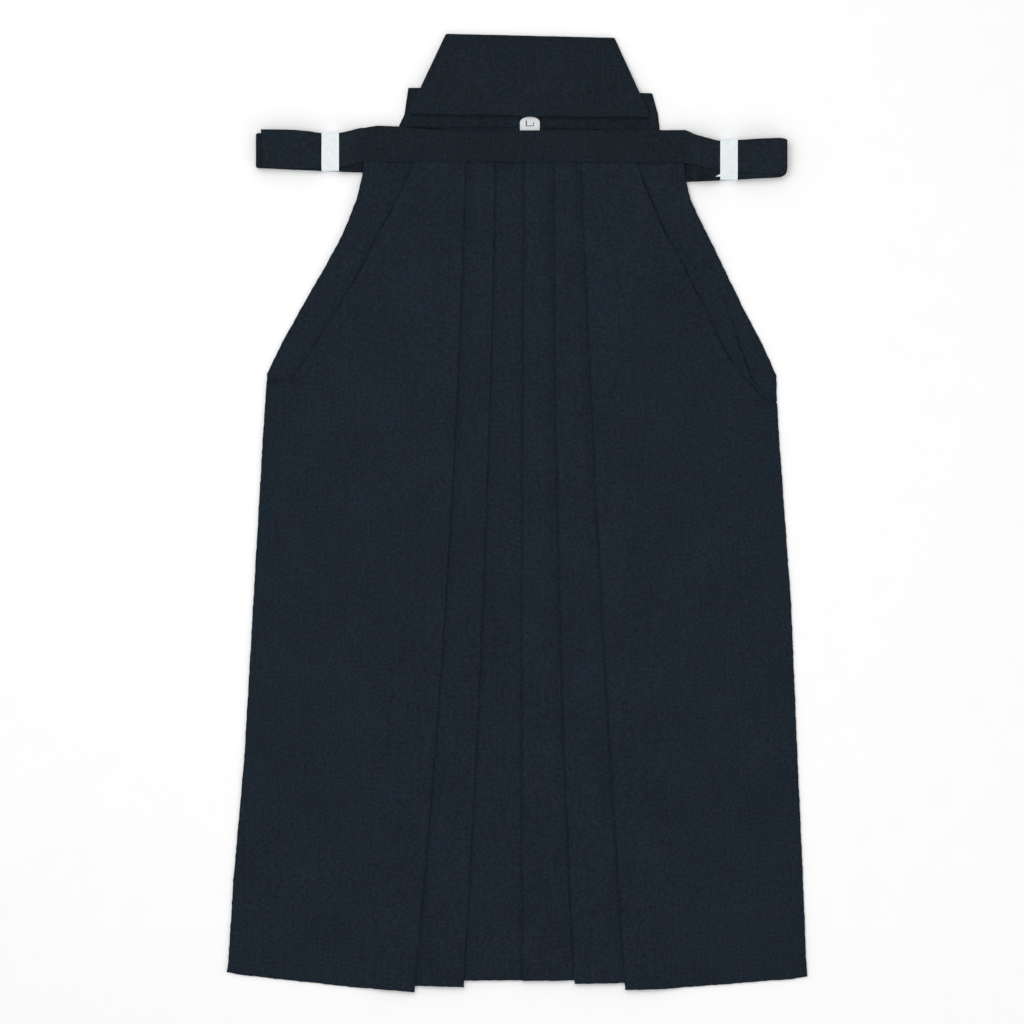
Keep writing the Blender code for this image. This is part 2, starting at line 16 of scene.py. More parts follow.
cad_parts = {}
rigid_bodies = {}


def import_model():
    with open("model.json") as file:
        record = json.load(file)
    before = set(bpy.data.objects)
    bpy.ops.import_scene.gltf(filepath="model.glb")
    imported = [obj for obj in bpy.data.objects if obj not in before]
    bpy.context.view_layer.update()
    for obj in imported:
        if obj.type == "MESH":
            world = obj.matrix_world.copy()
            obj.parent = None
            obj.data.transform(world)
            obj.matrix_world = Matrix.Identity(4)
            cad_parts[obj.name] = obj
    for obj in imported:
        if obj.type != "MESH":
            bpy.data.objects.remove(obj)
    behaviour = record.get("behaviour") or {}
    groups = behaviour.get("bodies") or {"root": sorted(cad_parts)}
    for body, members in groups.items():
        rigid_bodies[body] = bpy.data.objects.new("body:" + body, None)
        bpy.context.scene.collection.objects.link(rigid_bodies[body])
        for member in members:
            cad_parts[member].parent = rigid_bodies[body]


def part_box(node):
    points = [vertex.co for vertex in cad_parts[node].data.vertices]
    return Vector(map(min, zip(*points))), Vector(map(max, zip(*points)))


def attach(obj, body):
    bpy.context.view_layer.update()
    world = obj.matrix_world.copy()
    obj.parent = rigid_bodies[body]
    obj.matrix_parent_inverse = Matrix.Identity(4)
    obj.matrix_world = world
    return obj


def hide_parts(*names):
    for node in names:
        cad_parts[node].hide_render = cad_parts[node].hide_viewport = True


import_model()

bl_info = {
    "name": "Hakama Laid Flat",
    "version": (1, 0, 0),
    "blender": (4, 5, 0),
    "location": "3D View > Sidebar > Hakama",
    "description": "Builds pleated divided trousers laid flat, with folded ties, bands, board and spatula",
    "category": "Add Mesh",
}

MM = 0.001
# The picture's width on the floor. Outlines hold at the floor, and higher layers are drawn in as it sees them
PICTURE_PIXELS, PIXEL_WIDTH = 1024, 1.115
VIEW_WIDTH = PICTURE_PIXELS * PIXEL_WIDTH
LENS, SENSOR = 150, 36.0
CAMERA_HEIGHT = VIEW_WIDTH * LENS / SENSOR
# The picture's centre lies a little to the wearer's right of the tables' centre line, and above their middle
VIEW_CENTRE = (-5.575, 0.95)
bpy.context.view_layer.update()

# Layers: each lies one pitch above the last, and the wall's middle is half a laid cloth above its base
LAID_CLOTH = 1.0
PITCH = 1.3
# A fold's outside lies this far beyond its turn's centre, and the cloth beside a fold is pressed flat this far
FOLD_RADIUS = 1.15
FOLD_STEPS = 6
PRESSED = 1.2
# How dark the cloth is painted with shade just beside a fold, and the room beside a fold before the cloth changes its
# level
BESIDE_FOLD_SHADE = 0.7
CLEAR = 1.5

# Heights of the layers under the front
SPATULA_THICKNESS, SPATULA_CLEAR = 1.5, 0.3
OVER_BACK = 3 * PITCH
OVER_GUSSET = OVER_BACK + PITCH
BAND_UNDERSIDE = OVER_BACK + SPATULA_THICKNESS + SPATULA_CLEAR
AT_WAIST = BAND_UNDERSIDE + PITCH
AT_SIDE = PITCH
FACE_OVER_PLEATS = AT_WAIST + 3 * PITCH
FACE_OVER_SIDES = AT_WAIST + PITCH

# Heights along the garment
PANEL_TOP, WAIST, MIDDLE, HEM = 418.0, 389.0, 3.0, -530.0
GUSSET_TOP, GUSSET_FOOT, GUSSET_HALF_WIDTH = 60.0, -96.0, 52.0
GUSSET_CLEAR, GUSSET_SLOPE = 6.0, 39.0
SIDE_FLAT, PLEATS_FLAT = 228.0, 309.0
LAST_LEVEL_ROW = -500.0

# Each pleat's fold edge: its distance from the centre line, +X, at the waist, the middle and the hem
FOLD_EDGES = {
    "right_outer": (-56.9, -73.0, -114.3),
    "right_inner": (-23.4, -33.9, -59.3),
    "centre": (7.8, 5.6, 5.6),
    "left_inner": (41.3, 44.8, 64.3),
    "left_outer": (71.4, 88.6, 120.4),
}
LEG_FOLDS = {"right": ("right_outer", "right_inner"), "left": ("left_outer", "left_inner", "centre")}
PLEAT_SHARE = 0.62
# How dark the pleats' edges are painted with shade, beside the side folds
PLEAT_SHADE = 0.58
# How dark the side folds are painted with shade: height, share
SIDE_FOLD_SHADE = ((PANEL_TOP, 1.75), (300.0, 1.5), (SIDE_FLAT, 1.05), (150.0, 1.0))
PLEAT_SLOPE, SIDE_SLOPE, PLATEAU_SLOPE = 12.0, 12.0, 25.0

# Height, then the outward distance of the leg's edge and of its side fold
LEG_SIDES = {
    "right": (
        (PANEL_TOP, 169.5, 114.0),
        (WAIST, 171.2, 115.0),
        (375.6, 172.2, 122.0),
        (348.8, 178.8, 134.2),
        (PLEATS_FLAT, 194.7, 156.1),
        (268.5, 217.3, 176.2),
        (SIDE_FLAT, 240.6, 199.6),
        (188.3, 262.5, 225.3),
        (154.8, 278.8, 246.5),
        (149.8, 278.8, 251.4),
        (148.2, 278.9, 256.0),
        (146.6, 278.9, 268.0),
        (145.6, 279.0, 278.1),
        (145.5, 279.0, None),
        (95.0, 282.6, None),
        (-275.0, 304.1, None),
        (-409.0, 316.1, None),
        (HEM, 323.6, None),
    ),
    "left": (
        (PANEL_TOP, 184.5, 131.0),
        (WAIST, 186.2, 134.4),
        (375.6, 186.9, 138.6),
        (348.8, 193.1, 149.6),
        (PLEATS_FLAT, 212.6, 167.0),
        (268.5, 232.5, 189.2),
        (SIDE_FLAT, 252.1, 209.6),
        (188.3, 273.4, 227.5),
        (152.6, 289.1, 250.9),
        (137.0, 289.3, 267.0),
        (127.4, 289.7, 274.4),
        (125.8, 289.7, 278.6),
        (124.4, 289.8, 285.4),
        (123.6, 289.8, 289.0),
        (123.5, 289.8, None),
        (95.0, 291.3, None),
        (-102.0, 305.5, None),
        (-275.0, 312.7, None),
        (-409.0, 318.8, None),
        (HEM, 323.4, None),
    ),
}
SIDE_FOLD_DEPTH_TOP, SIDE_FOLD_DEPTH_FOOT = 20.0, 7.0
# A second crease beside each side fold: height, its share of the strip's width out from the fold, and its lift
STRIP_CREASES = {
    "right": ((PANEL_TOP, 0.5, 0.0), (144.0, 0.5, 0.0)),
    "left": (
        (PANEL_TOP, 0.8, 0.0),
        (252.0, 0.66, 0.0),
        (237.0, 0.61, 0.8),
        (218.0, 0.55, 0.4),
        (195.0, 0.47, 1.2),
        (176.0, 0.38, 0.7),
        (159.0, 0.3, 1.3),
        (148.0, 0.24, 0.9),
        (139.0, 0.24, 0.0),
        (122.0, 0.24, 0.0),
    ),
}

# Hem of the outer panels: outward distance, height. Then each inner panel's height where it starts and ends
OUTER_HEMS = {
    "right": ((114.3, -533.5), (215.0, -526.2), (295.0, -517.6), (323.6, -511.7)),
    "left": ((120.4, -531.4), (159.4, -530.5), (226.0, -526.2), (300.0, -520.9), (323.4, -516.4)),
}
INNER_HEMS = {
    "right": ((-525.8, -528.2), (-520.9, -520.9)),
    "left": ((-523.0, -524.5), (-521.2, -520.9), (-521.2, -521.2)),
}

# Back panels
BACK_TOP_HALF_WIDTHS = {"right": 117.0, "left": 153.0}
BACK_INSET, BACK_SEAM, BACK_PLEAT_CLEAR = 0.4, 0.15, 3.0
BACK_HEM_SIDE, BACK_HEM_INNER = -508.0, -517.0

# Waistband: distance across, height of its top edge, and how far its face is lifted over the pleats
WAISTBAND = (
    (-171.0, 428.6, 0.0),
    (-155.0, 431.2, 0.1),
    (-133.0, 430.2, 0.8),
    (-120.0, 428.6, 1.0),
    (-86.0, 425.8, 1.0),
    (130.0, 425.9, 1.0),
    (139.5, 426.0, 1.0),
    (160.0, 426.2, 0.1),
    (186.0, 426.3, 0.0),
)
WAISTBAND_FOOT = (390.7, 389.4)
WAISTBAND_INNER_FOOT = 393.5
WAISTBAND_TURN_STEPS = 8
# How dark the painted shade along the waistband's foot is: distance across, share
FOOT_SHADE = (
    (-140.0, 0.45),
    (-66.0, 0.35),
    (-60.0, 1.0),
    (-12.0, 1.0),
    (-6.0, 0.2),
    (60.0, 0.3),
    (69.0, 1.0),
    (134.0, 1.0),
    (142.0, 0.5),
)
# How far each end of the band reaches on, to close the seam with the tie
SEAM_LEFT = 0.28

# Front ties, folded to and fro beside the waist. Slips say how far each fold falls short, from the top down
TIE_RUNS = 12
BUNDLE_BASE = 0.8
RAMP = 11.0
INNER_SLIPS = (0.6, 0.0, 1.3, -1.5, -4.6, -4.0)
SIDE_SLIPS = (0.0, 0.5, -0.6, 0.3, -0.4, 0.6, -0.2, 0.5, -0.5, 0.2, 0.4, -0.3)
# How dark the runs are painted with shade in the recess beside the waist
RECESS_SHADE = 0.7
FRONT_TIES = {
    "right": {
        "start": 171.3,
        "inner": 174.2,
        "outer": 291.2,
        "edges_inner": (424.1, 379.5),
        "edges_outer": (423.0, 384.6),
        "outer_slips": (5.6, 6.0, 0.0, 0.8, 0.3, 1.1),
        "upper_folds": 2,
        "corners": ((1.0, 1.0), (3.0, 3.0)),
        "face": (
            (171.3, 428.6, 390.6),
            (175.4, 428.4, 389.9),
            (179.5, 427.8, 389.0),
            (186.2, 426.3, 387.8),
            (192.9, 424.6, 386.7),
            (199.0, 423.5, 386.0),
            (217.5, 423.4, 385.4),
            (222.5, 424.1, 385.3),
            (230.8, 425.4, 385.2),
            (239.7, 426.4, 385.1),
            (250.0, 427.3, 385.0),
            (291.2, 427.8, 384.9),
        ),
        "band": (197.9, 217.2),
        "band_edges": (422.7, 380.2),
        "band_lap": (0.0, 4.8, 1.3),
    },
    "left": {
        "start": 186.3,
        "inner": 189.5,
        "outer": 301.5,
        "edges_inner": (414.0, 369.0),
        "edges_outer": (416.2, 374.6),
        "outer_slips": (0.0, 0.7, 1.6, 0.4, 1.1, 0.2),
        "upper_folds": 1,
        "corners": ((3.2, 7.5), (9.5, 9.5)),
        "face": (
            (186.3, 426.3, 389.4),
            (190.7, 424.7, 389.0),
            (197.4, 422.4, 388.2),
            (204.0, 420.6, 387.0),
            (214.0, 417.8, 384.6),
            (226.5, 414.6, 381.6),
            (246.4, 415.8, 380.6),
            (264.3, 417.1, 379.4),
            (291.0, 418.1, 377.4),
            (301.5, 418.0, 376.5),
        ),
        "band": (225.9, 245.2),
        "band_edges": (415.4, 370.2),
        "band_lap": (-5.4, 0.0, 3.4),
    },
}

# Back ties, folded in under the board
BACK_TIE_RUNS = 4
BACK_TIES = {
    "right": {
        "inner": -2.1,
        "outer_edges": (121.3, 125.6, 132.6),
        "inner_heights": (473.5, 444.0, 429.1),
        "outer_heights": (473.5, 444.0, 429.1),
    },
    "left": {
        "inner": 26.4,
        "outer_edges": (150.9, 157.4, 159.4),
        "inner_heights": (473.0, 444.0, 429.1),
        "outer_heights": (467.4, 444.0, 424.6),
    },
}

# Board and spatula
BOARD_CORNERS = ((-121.5, 443.5), (149.4, 439.1), (108.7, 529.4), (-79.2, 533.9))
BOARD_THICKNESS = 5.0
BOARD_CORNER_RADIUS = 2.5
BOARD_SLOPE = (BACK_TIE_RUNS * PITCH + 0.1) / 58.5
SPATULA_CENTRE, SPATULA_WIDTH = 14.3, 22.2
SPATULA_TOP, SPATULA_FOOT = 441.4, 381.0
SPATULA_ROUNDINGS = (6.5, 11.0)

# Creases of the front: from, to, half width and lift, with troughs below nought
FRONT_CREASES = (
    (-253.0, 150.0, -150.0, 155.0, 9.0, 0.35),
    (-166.0, 156.0, -20.0, 151.0, 7.0, 0.25),
    (-256.0, 160.0, -60.0, 163.0, 5.0, -0.3),
    (110.0, 150.0, 256.0, 147.0, 5.0, 0.75),
    (100.0, 158.0, 250.0, 155.0, 4.0, -0.7),
    (-262.0, -140.0, -221.0, -99.0, 9.0, 0.4),
    (-228.0, -101.0, -180.0, -86.0, 5.0, 0.9),
    (-188.0, -88.0, -126.0, -54.0, 6.0, 0.8),
    (-206.0, -108.0, -138.0, -76.0, 11.0, -0.4),
    (-262.0, -262.0, -204.0, -300.0, 24.0, -0.4),
    (-246.0, -300.0, -206.0, -478.0, 30.0, -0.5),
    (-236.0, -210.0, -168.0, -216.0, 8.0, 0.3),
    (-158.0, 12.0, -120.0, -34.0, 10.0, 0.35),
    (-214.0, 92.0, -232.0, 30.0, 12.0, 0.4),
    (172.9, -21.5, 174.2, -119.6, 3.5, -0.35),
    (181.0, -16.0, 182.0, -128.0, 4.0, 0.3),
    (83.7, -365.0, 80.0, -409.0, 3.0, -0.35),
    (238.0, -74.0, 214.0, -150.0, 12.0, 0.45),
    (196.0, -196.0, 262.0, -224.0, 10.0, 0.35),
    (148.0, -300.0, 186.0, -392.0, 16.0, 0.4),
    (226.0, -330.0, 282.0, -352.0, 18.0, -0.35),
    (150.0, 96.0, 216.0, 62.0, 11.0, 0.35),
    (126.0, 300.0, 158.0, 262.0, 8.0, 0.35),
    (-128.0, 306.0, -162.0, 262.0, 9.0, 0.3),
    (214.0, 286.0, 232.0, 268.0, 4.0, 0.5),
    (234.0, 250.0, 250.0, 236.0, 4.0, 0.45),
    (-212.0, 262.0, -226.0, 244.0, 5.0, 0.4),
    (-250.0, 196.0, -262.0, 176.0, 5.0, 0.45),
    (-96.0, -330.0, -88.0, -450.0, 6.0, 0.3),
    (26.0, 60.0, 30.0, -60.0, 6.0, 0.25),
)
# Creases pressed up into the back from the surface it lies on
BACK_CREASES = (
    (-262.0, 152.0, -40.0, 158.0, 5.0, 0.5),
    (36.0, 154.0, 270.0, 149.0, 6.0, 0.6),
    (-246.0, -66.0, -150.0, -22.0, 7.0, 0.6),
    (-228.0, -290.0, -252.0, -420.0, 10.0, 0.5),
    (-120.0, -180.0, -104.0, -330.0, 5.0, 0.4),
    (110.0, -40.0, 196.0, -108.0, 8.0, 0.6),
    (232.0, -230.0, 210.0, -390.0, 9.0, 0.5),
    (84.0, 60.0, 98.0, -72.0, 4.0, 0.4),
    (-96.0, 300.0, -134.0, 232.0, 6.0, 0.4),
    (140.0, 310.0, 178.0, 236.0, 6.0, 0.4),
)
# Long soft waves: wavelength, direction in degrees, phase and height
LOFT_WAVES = (
    (310.0, 20.0, 0.3, 0.22),
    (190.0, 107.0, 1.9, 0.16),
    (118.0, 62.0, 4.1, 0.12),
    (74.0, 148.0, 2.6, 0.07),
    (41.0, 12.0, 5.2, 0.04),
)
LOFT = 0.55
# Creases and raised folds fade out toward the waist: the height where that starts, and over how far
CREASES_FADE, LIFTS_FADE = (345.0, 30.0), (335.0, 40.0)
EDGE_WAVES_ACROSS = ((61.0, 84.0, 0.4, 0.1), (27.0, 97.0, 2.2, 0.12), (12.5, 79.0, 4.4, 0.13), (8.6, 93.0, 1.3, 0.1))
EDGE_WAVES_ALONG = ((70.0, 8.0, 2.9, 0.12), (31.0, -11.0, 0.9, 0.14), (14.0, 4.0, 3.7, 0.13), (9.2, -6.0, 5.6, 0.1))
# How far each pleat's folded edge stands up, and the distance over which it comes down
FOLD_LIFTS = {"right_outer": 0.6, "right_inner": 0.45, "centre": 0.5, "left_inner": 0.5, "left_outer": 0.65}
SIDE_FOLD_LIFT = 0.6
LIFT_REACH = 12.0

# Painted light and shade: how much lighter or darker the binding is painted on each piece, beside the board's
BINDING_PAINTED_LIGHT = {"board": 1.0, "waistband": 0.91, "tie": 1.1}

# Rims: distance in from a cut or sewn edge, and the share of the full thickness there
RIM = ((0.0, 0.3), (0.12, 0.72), (0.4, 1.0))
# A place of a wall: where it is, where its face looks, its layer, its share of the thickness, and how dark it is
# painted with shade
FIELDS = 8
ACROSS, UP, ALONG, LEAN, RISE, LEVEL, BODY, SHADING = range(FIELDS)


def length_setting(name, description, default, least):
    return FloatProperty(name=name, description=description, default=default, min=least, unit="LENGTH")


def share_setting(name, description):
    return FloatProperty(name=name, description=description, default=1.0, min=0.0, max=1.5, subtype="FACTOR")


def colour_setting(name, description, default):
    return FloatVectorProperty(
        name=name, description=description, default=default, size=3, min=0.0, max=1.0, subtype="COLOR"
    )


class ClothSettings(bpy.types.PropertyGroup):
    thickness: FloatProperty(
        name="Cloth thickness",
        description="Thickness of each wall of cloth",
        default=0.9 * MM,
        min=0.3 * MM,
        max=1.2 * MM,
        unit="LENGTH",
    )
    grid: length_setting("Grid", "Distance between the points of the cloth's surface", 4.5 * MM, 4.4 * MM)
    creases: share_setting("Creases", "How strongly the creases and waves show, as a share of their table")
    wobble: share_setting("Edge wobble", "How unevenly the edges run, as a share of their table")
    colour: colour_setting("Navy", "Colour of the dyed twill", (0.0073, 0.0134, 0.0215))
    binding: colour_setting(
        "Binding",
        "Colour of the same twill in the waistband, ties and board, where it looks a little greyer",
        (0.0069, 0.0118, 0.0176),
    )
    twill_pitch: length_setting("Twill pitch", "Distance between two ribs of the twill", 0.9 * MM, 0.3 * MM)


class SewingSettings(bpy.types.PropertyGroup):
    radius: length_setting("Thread radius", "Radius of the sewing thread", 0.2 * MM, 0.05 * MM)
    # The thread is dark navy, set near black so that it also paints the shade of the dimple at the bar tack
    colour: colour_setting("Thread", "Colour of the sewing thread", (0.0035, 0.0055, 0.0085))
    spatula_thread: colour_setting(
        "Spatula thread", "Colour of the thread that holds the spatula", (0.055, 0.06, 0.10)
    )


class TrimSettings(bpy.types.PropertyGroup):
    paper_thickness: length_setting("Paper thickness", "Thickness of the paper of the bands", 0.26 * MM, 0.1 * MM)
    paper: colour_setting("Paper", "Colour of the bands", (0.75, 0.805, 0.815))
    spatula: colour_setting("Spatula", "Colour of the spatula", (0.66, 0.68, 0.69))


class StageSettings(bpy.types.PropertyGroup):
    floor_width: length_setting("Floor width", "Width of the pale floor", 14.0, 1.0)
    floor: colour_setting("Floor", "Colour of the floor", (0.96, 0.96, 0.96))
    sky: FloatProperty(
        name="Sky", description="Strength of the even light from all round", default=0.55, min=0.0
    )
    softbox: FloatProperty(
        name="Softbox", description="Power of the softbox overhead, in watts", default=41.0, min=0.0
    )
    view_width: length_setting("View width", "Width of the floor that the picture shows", VIEW_WIDTH * MM, 0.1)
    lens: IntProperty(
        name="Lens", description="Focal length of the camera, in millimetres", default=LENS, min=20
    )


def interpolate(at, table, column=1):
    """The value in a column of a table whose first column rises or falls steadily."""
    rows = sorted(table, key=lambda row: row[0])
    return np.interp(at, [row[0] for row in rows], [row[column] for row in rows])


def smooth(share):
    share = np.clip(share, 0.0, 1.0)
    return share * share * (3 - 2 * share)


def fold_edge(name, height):
    """A fold edge's place on a parabola through its three given places."""
    waist, middle, hem = FOLD_EDGES[name]
    return (
        waist * (height - MIDDLE) * (height - HEM) / ((WAIST - MIDDLE) * (WAIST - HEM))
        + middle * (height - WAIST) * (height - HEM) / ((MIDDLE - WAIST) * (MIDDLE - HEM))
        + hem * (height - WAIST) * (height - MIDDLE) / ((HEM - WAIST) * (HEM - MIDDLE))
    )


def plateau(height):
    """The underside of the pleated part of the front, over the back's pleat and the gusset."""
    table = (
        (WAIST, AT_WAIST),
        (PLEATS_FLAT, OVER_BACK),
        (GUSSET_TOP + GUSSET_CLEAR + GUSSET_SLOPE, OVER_BACK),
        (GUSSET_TOP + GUSSET_CLEAR, OVER_GUSSET),
        (GUSSET_FOOT - GUSSET_CLEAR, OVER_GUSSET),
        (GUSSET_FOOT - GUSSET_CLEAR - GUSSET_SLOPE, OVER_BACK),
    )
    return float(interpolate(height, table))


def sides_base(height):
    """The underside of the front beside the pleats, which comes down to the back panel."""
    return float(interpolate(height, ((WAIST, AT_WAIST), (SIDE_FLAT, AT_SIDE))))


def mirror_of(side):
    return 1.0 if side == "left" else -1.0


def mirrored(sign):
    """Maps a wall's across, along and up to x, y and z, with its across turned by a sign."""
    return lambda across, along, up: (sign * across, along, up)


def slit_rows(side):
    """The rows of a leg's side table beside its slit, where the side fold runs."""
    return [row for row in LEG_SIDES[side] if row[2] is not None]


def grid_spacing():
    return bpy.context.scene.hakama_cloth.grid / MM


def faded(y, fade):
    """A share of one that fades out upward from a height."""
    return 1 - smooth((y - fade[0]) / fade[1])


def table_shift():
    """How far the frame's centre lies from the tables' centre line, found from the gusset's box."""
    low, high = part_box("gusset")
    middle = (low + high) / 2
    return middle.x, middle.y - (GUSSET_TOP + GUSSET_FOOT) / 2 * MM


# Relief


def waves(x, y, table):
    total = 0.0
    for length, direction, phase, height in table:
        turn = math.radians(direction)
        total = total + height * np.sin(math.tau * (x * math.cos(turn) + y * math.sin(turn)) / length + phase)
    return total


def creases(x, y, table):
    """Soft troughs and ridges along short lines, uneven along their length and fading at both ends."""
    total = np.zeros_like(x)
    for from_x, from_y, to_x, to_y, half_width, lift in table:
        run_x, run_y = to_x - from_x, to_y - from_y
        length = math.hypot(run_x, run_y)
        share = ((x - from_x) * run_x + (y - from_y) * run_y) / length**2
        bend = 0.03 * length * np.sin(math.tau * share * 0.9 + from_x)
        across = ((x - from_x) * run_y - (y - from_y) * run_x) / length + bend
        fade = smooth(share / 0.28) * smooth((1 - share) / 0.4)
        uneven = 0.8 + 0.2 * np.sin(length * share / 9.0 + from_y)
        total += lift * uneven * fade * np.exp(-((across / half_width) ** 2))
    return total


def settle(x, y, z):
    """Where a point of the laid-out garment comes to lie, with its creases, waves and uneven edges."""
    cloth = bpy.context.scene.hakama_cloth
    on_legs = faded(y, CREASES_FADE)
    off_floor = np.clip((z - LAID_CLOTH / 2) / PITCH, 0.0, 1.0)
    loft = LOFT + cloth.creases * (waves(x, y, LOFT_WAVES) + creases(x, y, FRONT_CREASES))
    lift = on_legs * (cloth.creases * creases(x, y, BACK_CREASES) + off_floor * np.maximum(loft, 0.0))
    wobble = cloth.wobble * (0.3 + 0.7 * on_legs)
    return (
        x + wobble * waves(x, y, EDGE_WAVES_ACROSS),
        y + wobble * waves(x, y, EDGE_WAVES_ALONG),
        z + lift,
    )


def uneven_along(y, seed):
    """A share from about 0.1 to 1 that rises and falls along a fold."""
    slow = math.sin(seed) + np.sin(y / 71.0 + 2.3 * seed)
    return 0.5 + 0.25 * np.clip(slow + 0.7 * np.sin(y / 23.0 + 5.1 * seed), -1.7, 1.9)


def pleat_lift(side, across, along, level):
    """How far a front's folded edges stand up from the layers under them."""
    total = np.zeros_like(across)
    for seed, name in enumerate(LEG_FOLDS[side], 1):
        distance = np.abs(across + mirror_of(side) * fold_edge(name, along))
        total += FOLD_LIFTS[name] * uneven_along(along, seed + across.min() / 400) * np.exp(-distance / LIFT_REACH)
    slit = slit_rows(side)
    distance = np.abs(across + interpolate(along, slit, 2)) + 400.0 * (along < slit[-1][0])
    total += SIDE_FOLD_LIFT * uneven_along(along, 0.6) * np.exp(-distance / LIFT_REACH)
    return total * level / 2 * faded(along, LIFTS_FADE)


# Walls of cloth


class ClothRow:
    """One row across a cloth, walked from its first edge to its last along the middle of the wall."""

    def __init__(self, level=0.0, face_up=True):
        self.level = level
        self.face = 1.0 if face_up else -1.0
        # How dark the painted shade along this row's folds is
        self.shade_share = 1.0
        self.places = []

    def skip(self, count):
        self.places += [[math.nan] * FIELDS] * count

    # fold is how dark the place is painted with shade
    def lie(self, across, base, along, fold=0.0):
        up = base + self.level * PITCH + LAID_CLOTH / 2
        self.places.append([across, up, along, 0.0, self.face, self.level, 1.0, fold])

    def turn(self, across, base, along, toward, level):
        """Fold the cloth over, round an edge that bulges toward +1 or -1, to the next level."""
        self.lie(across - PRESSED * toward, base, along)
        # Painted shade beside the fold and round its turn, scaled by the row's share
        self.lie(across, base, along, fold=BESIDE_FOLD_SHADE * self.shade_share)
        rising = 1.0 if level > self.level else -1.0
        between = (level + self.level) / 2
        middle = base + between * PITCH + LAID_CLOTH / 2
        for step in range(1, FOLD_STEPS):
            angle = math.pi * step / FOLD_STEPS - math.pi / 2
            reach, lift = math.cos(angle) * toward, math.sin(angle) * rising
            outward = -self.face * rising
            self.places.append(
                [
                    across + PITCH / 2 * reach,
                    middle + PITCH / 2 * lift,
                    along,
                    outward * reach,
                    outward * lift,
                    between,
                    1.0,
                    self.shade_share,
                ]
            )
        self.level = level
        self.face = -self.face
        self.lie(across, base, along, fold=BESIDE_FOLD_SHADE * self.shade_share)
        self.lie(across - PRESSED * toward, base, along)


def refined(places, counts, soft):
    """More lines of places between each two, soft ones easing from one height to the next."""
    lines = []
    for number, count in enumerate(counts):
        first, second = places[:, number], places[:, number + 1]
        for step in range(count):
            share = step / count
            line = first + share * (second - first)
            if soft:
                line[:, UP] = first[:, UP] + smooth(share) * (second[:, UP] - first[:, UP])
            lines.append(line)
    lines.append(places[:, -1])
    return np.stack(lines, axis=1)


def counts_for(places, spacing):
    """How many steps to make between each two lines of places, with fewer where the cloth faces down."""
    reach = np.nanmax(np.linalg.norm(np.diff(places[:, :, :3], axis=1), axis=2), axis=0)
    hidden = np.nanmax(places[:, :, RISE], axis=0) < 0
    reach = np.where(hidden[1:] & hidden[:-1], 0.4 * reach, reach)
    return np.maximum(np.ceil(reach / spacing - 1e-6), 1).astype(int)


def rimmed(places, at_end):
    """The first or last line of places drawn out to a rounded rim."""
    lines = places[:, ::-1] if at_end else places
    first, second = lines[:, 0], lines[:, 1]
    gap = np.linalg.norm((second - first)[:, :3], axis=1, keepdims=True)
    rim = []
    for inset, body in RIM:
        line = first + inset / gap * (second - first)
        line[:, BODY] = body
        rim.append(line)
    lines = np.concatenate([np.stack(rim, axis=1), lines[:, 1:]], axis=1)
    return lines[:, ::-1] if at_end else lines


def wall_faces(present, number):
    """Quads of both faces of a wall and of its edges, over a grid of places."""
    cell = present[:-1, :-1] & present[1:, :-1] & present[:-1, 1:] & present[1:, 1:]
    around = np.pad(cell, 1)
    corners = (number[:-1, :-1], number[:-1, 1:], number[1:, 1:], number[1:, :-1])
    faces = [np.stack([corner[cell] for corner in corners], axis=1)]
    faces.append(np.stack([corner[cell] + 1 for corner in reversed(corners)], axis=1))
    neighbours = (around[:-2, 1:-1], around[1:-1, 2:], around[2:, 1:-1], around[1:-1, :-2])
    for index, neighbour in enumerate(neighbours):
        here, after = corners[index], corners[(index + 1) % 4]
        edge = cell & ~neighbour
        faces.append(np.stack([after[edge], here[edge], here[edge] + 1, after[edge] + 1], axis=1))
    return np.concatenate(faces)


def new_piece(name, points, faces, material, sharp=40.0):
    """A mesh object from points in millimetres, facing out, that rides on the garment."""
    mesh = bpy.data.meshes.new(name)
    shift = table_shift()
    placed = np.asarray(points, float) * MM - np.array([-shift[0], -shift[1], 0.0])
    mesh.from_pydata(placed.tolist(), [], [list(face) for face in faces])
    shape = bmesh.new()
    shape.from_mesh(mesh)
    bmesh.ops.recalc_face_normals(shape, faces=shape.faces)
    if shape.calc_volume(signed=True) < 0:
        bmesh.ops.reverse_faces(shape, faces=shape.faces)
    shape.to_mesh(mesh)
    shape.free()
    mesh.shade_smooth()
    mesh.set_sharp_from_angle(angle=math.radians(sharp))
    mesh.materials.append(material)
    piece = bpy.data.objects.new(name, mesh)
    bpy.context.scene.collection.objects.link(piece)
    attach(piece, "root")
    return piece


def set_shares(piece, name, shares):
    attribute = piece.data.attributes.new(name, "FLOAT", "POINT")
    attribute.data.foreach_set("value", np.asarray(shares, np.float32))


def sew_wall(name, places, thickness, to_points, material):
    """A mesh through both faces of a wall. to_points maps across, along and up to x, y and z."""
    present = np.isfinite(places[:, :, ACROSS])
    number = (np.cumsum(present.ravel()).reshape(present.shape) - 1) * 2
    flat = places[present]
    half = flat[:, BODY] * thickness / 2
    sides = []
    for side in (1.0, -1.0):
        across = flat[:, ACROSS] + side * half * flat[:, LEAN]
        up = flat[:, UP] + side * half * flat[:, RISE]
        sides.append(np.stack(settle(*to_points(across, flat[:, ALONG], up)), axis=1))
    points = np.stack(sides, axis=1).reshape(-1, 3)
    return new_piece(name, points, wall_faces(present, number).tolist(), material)


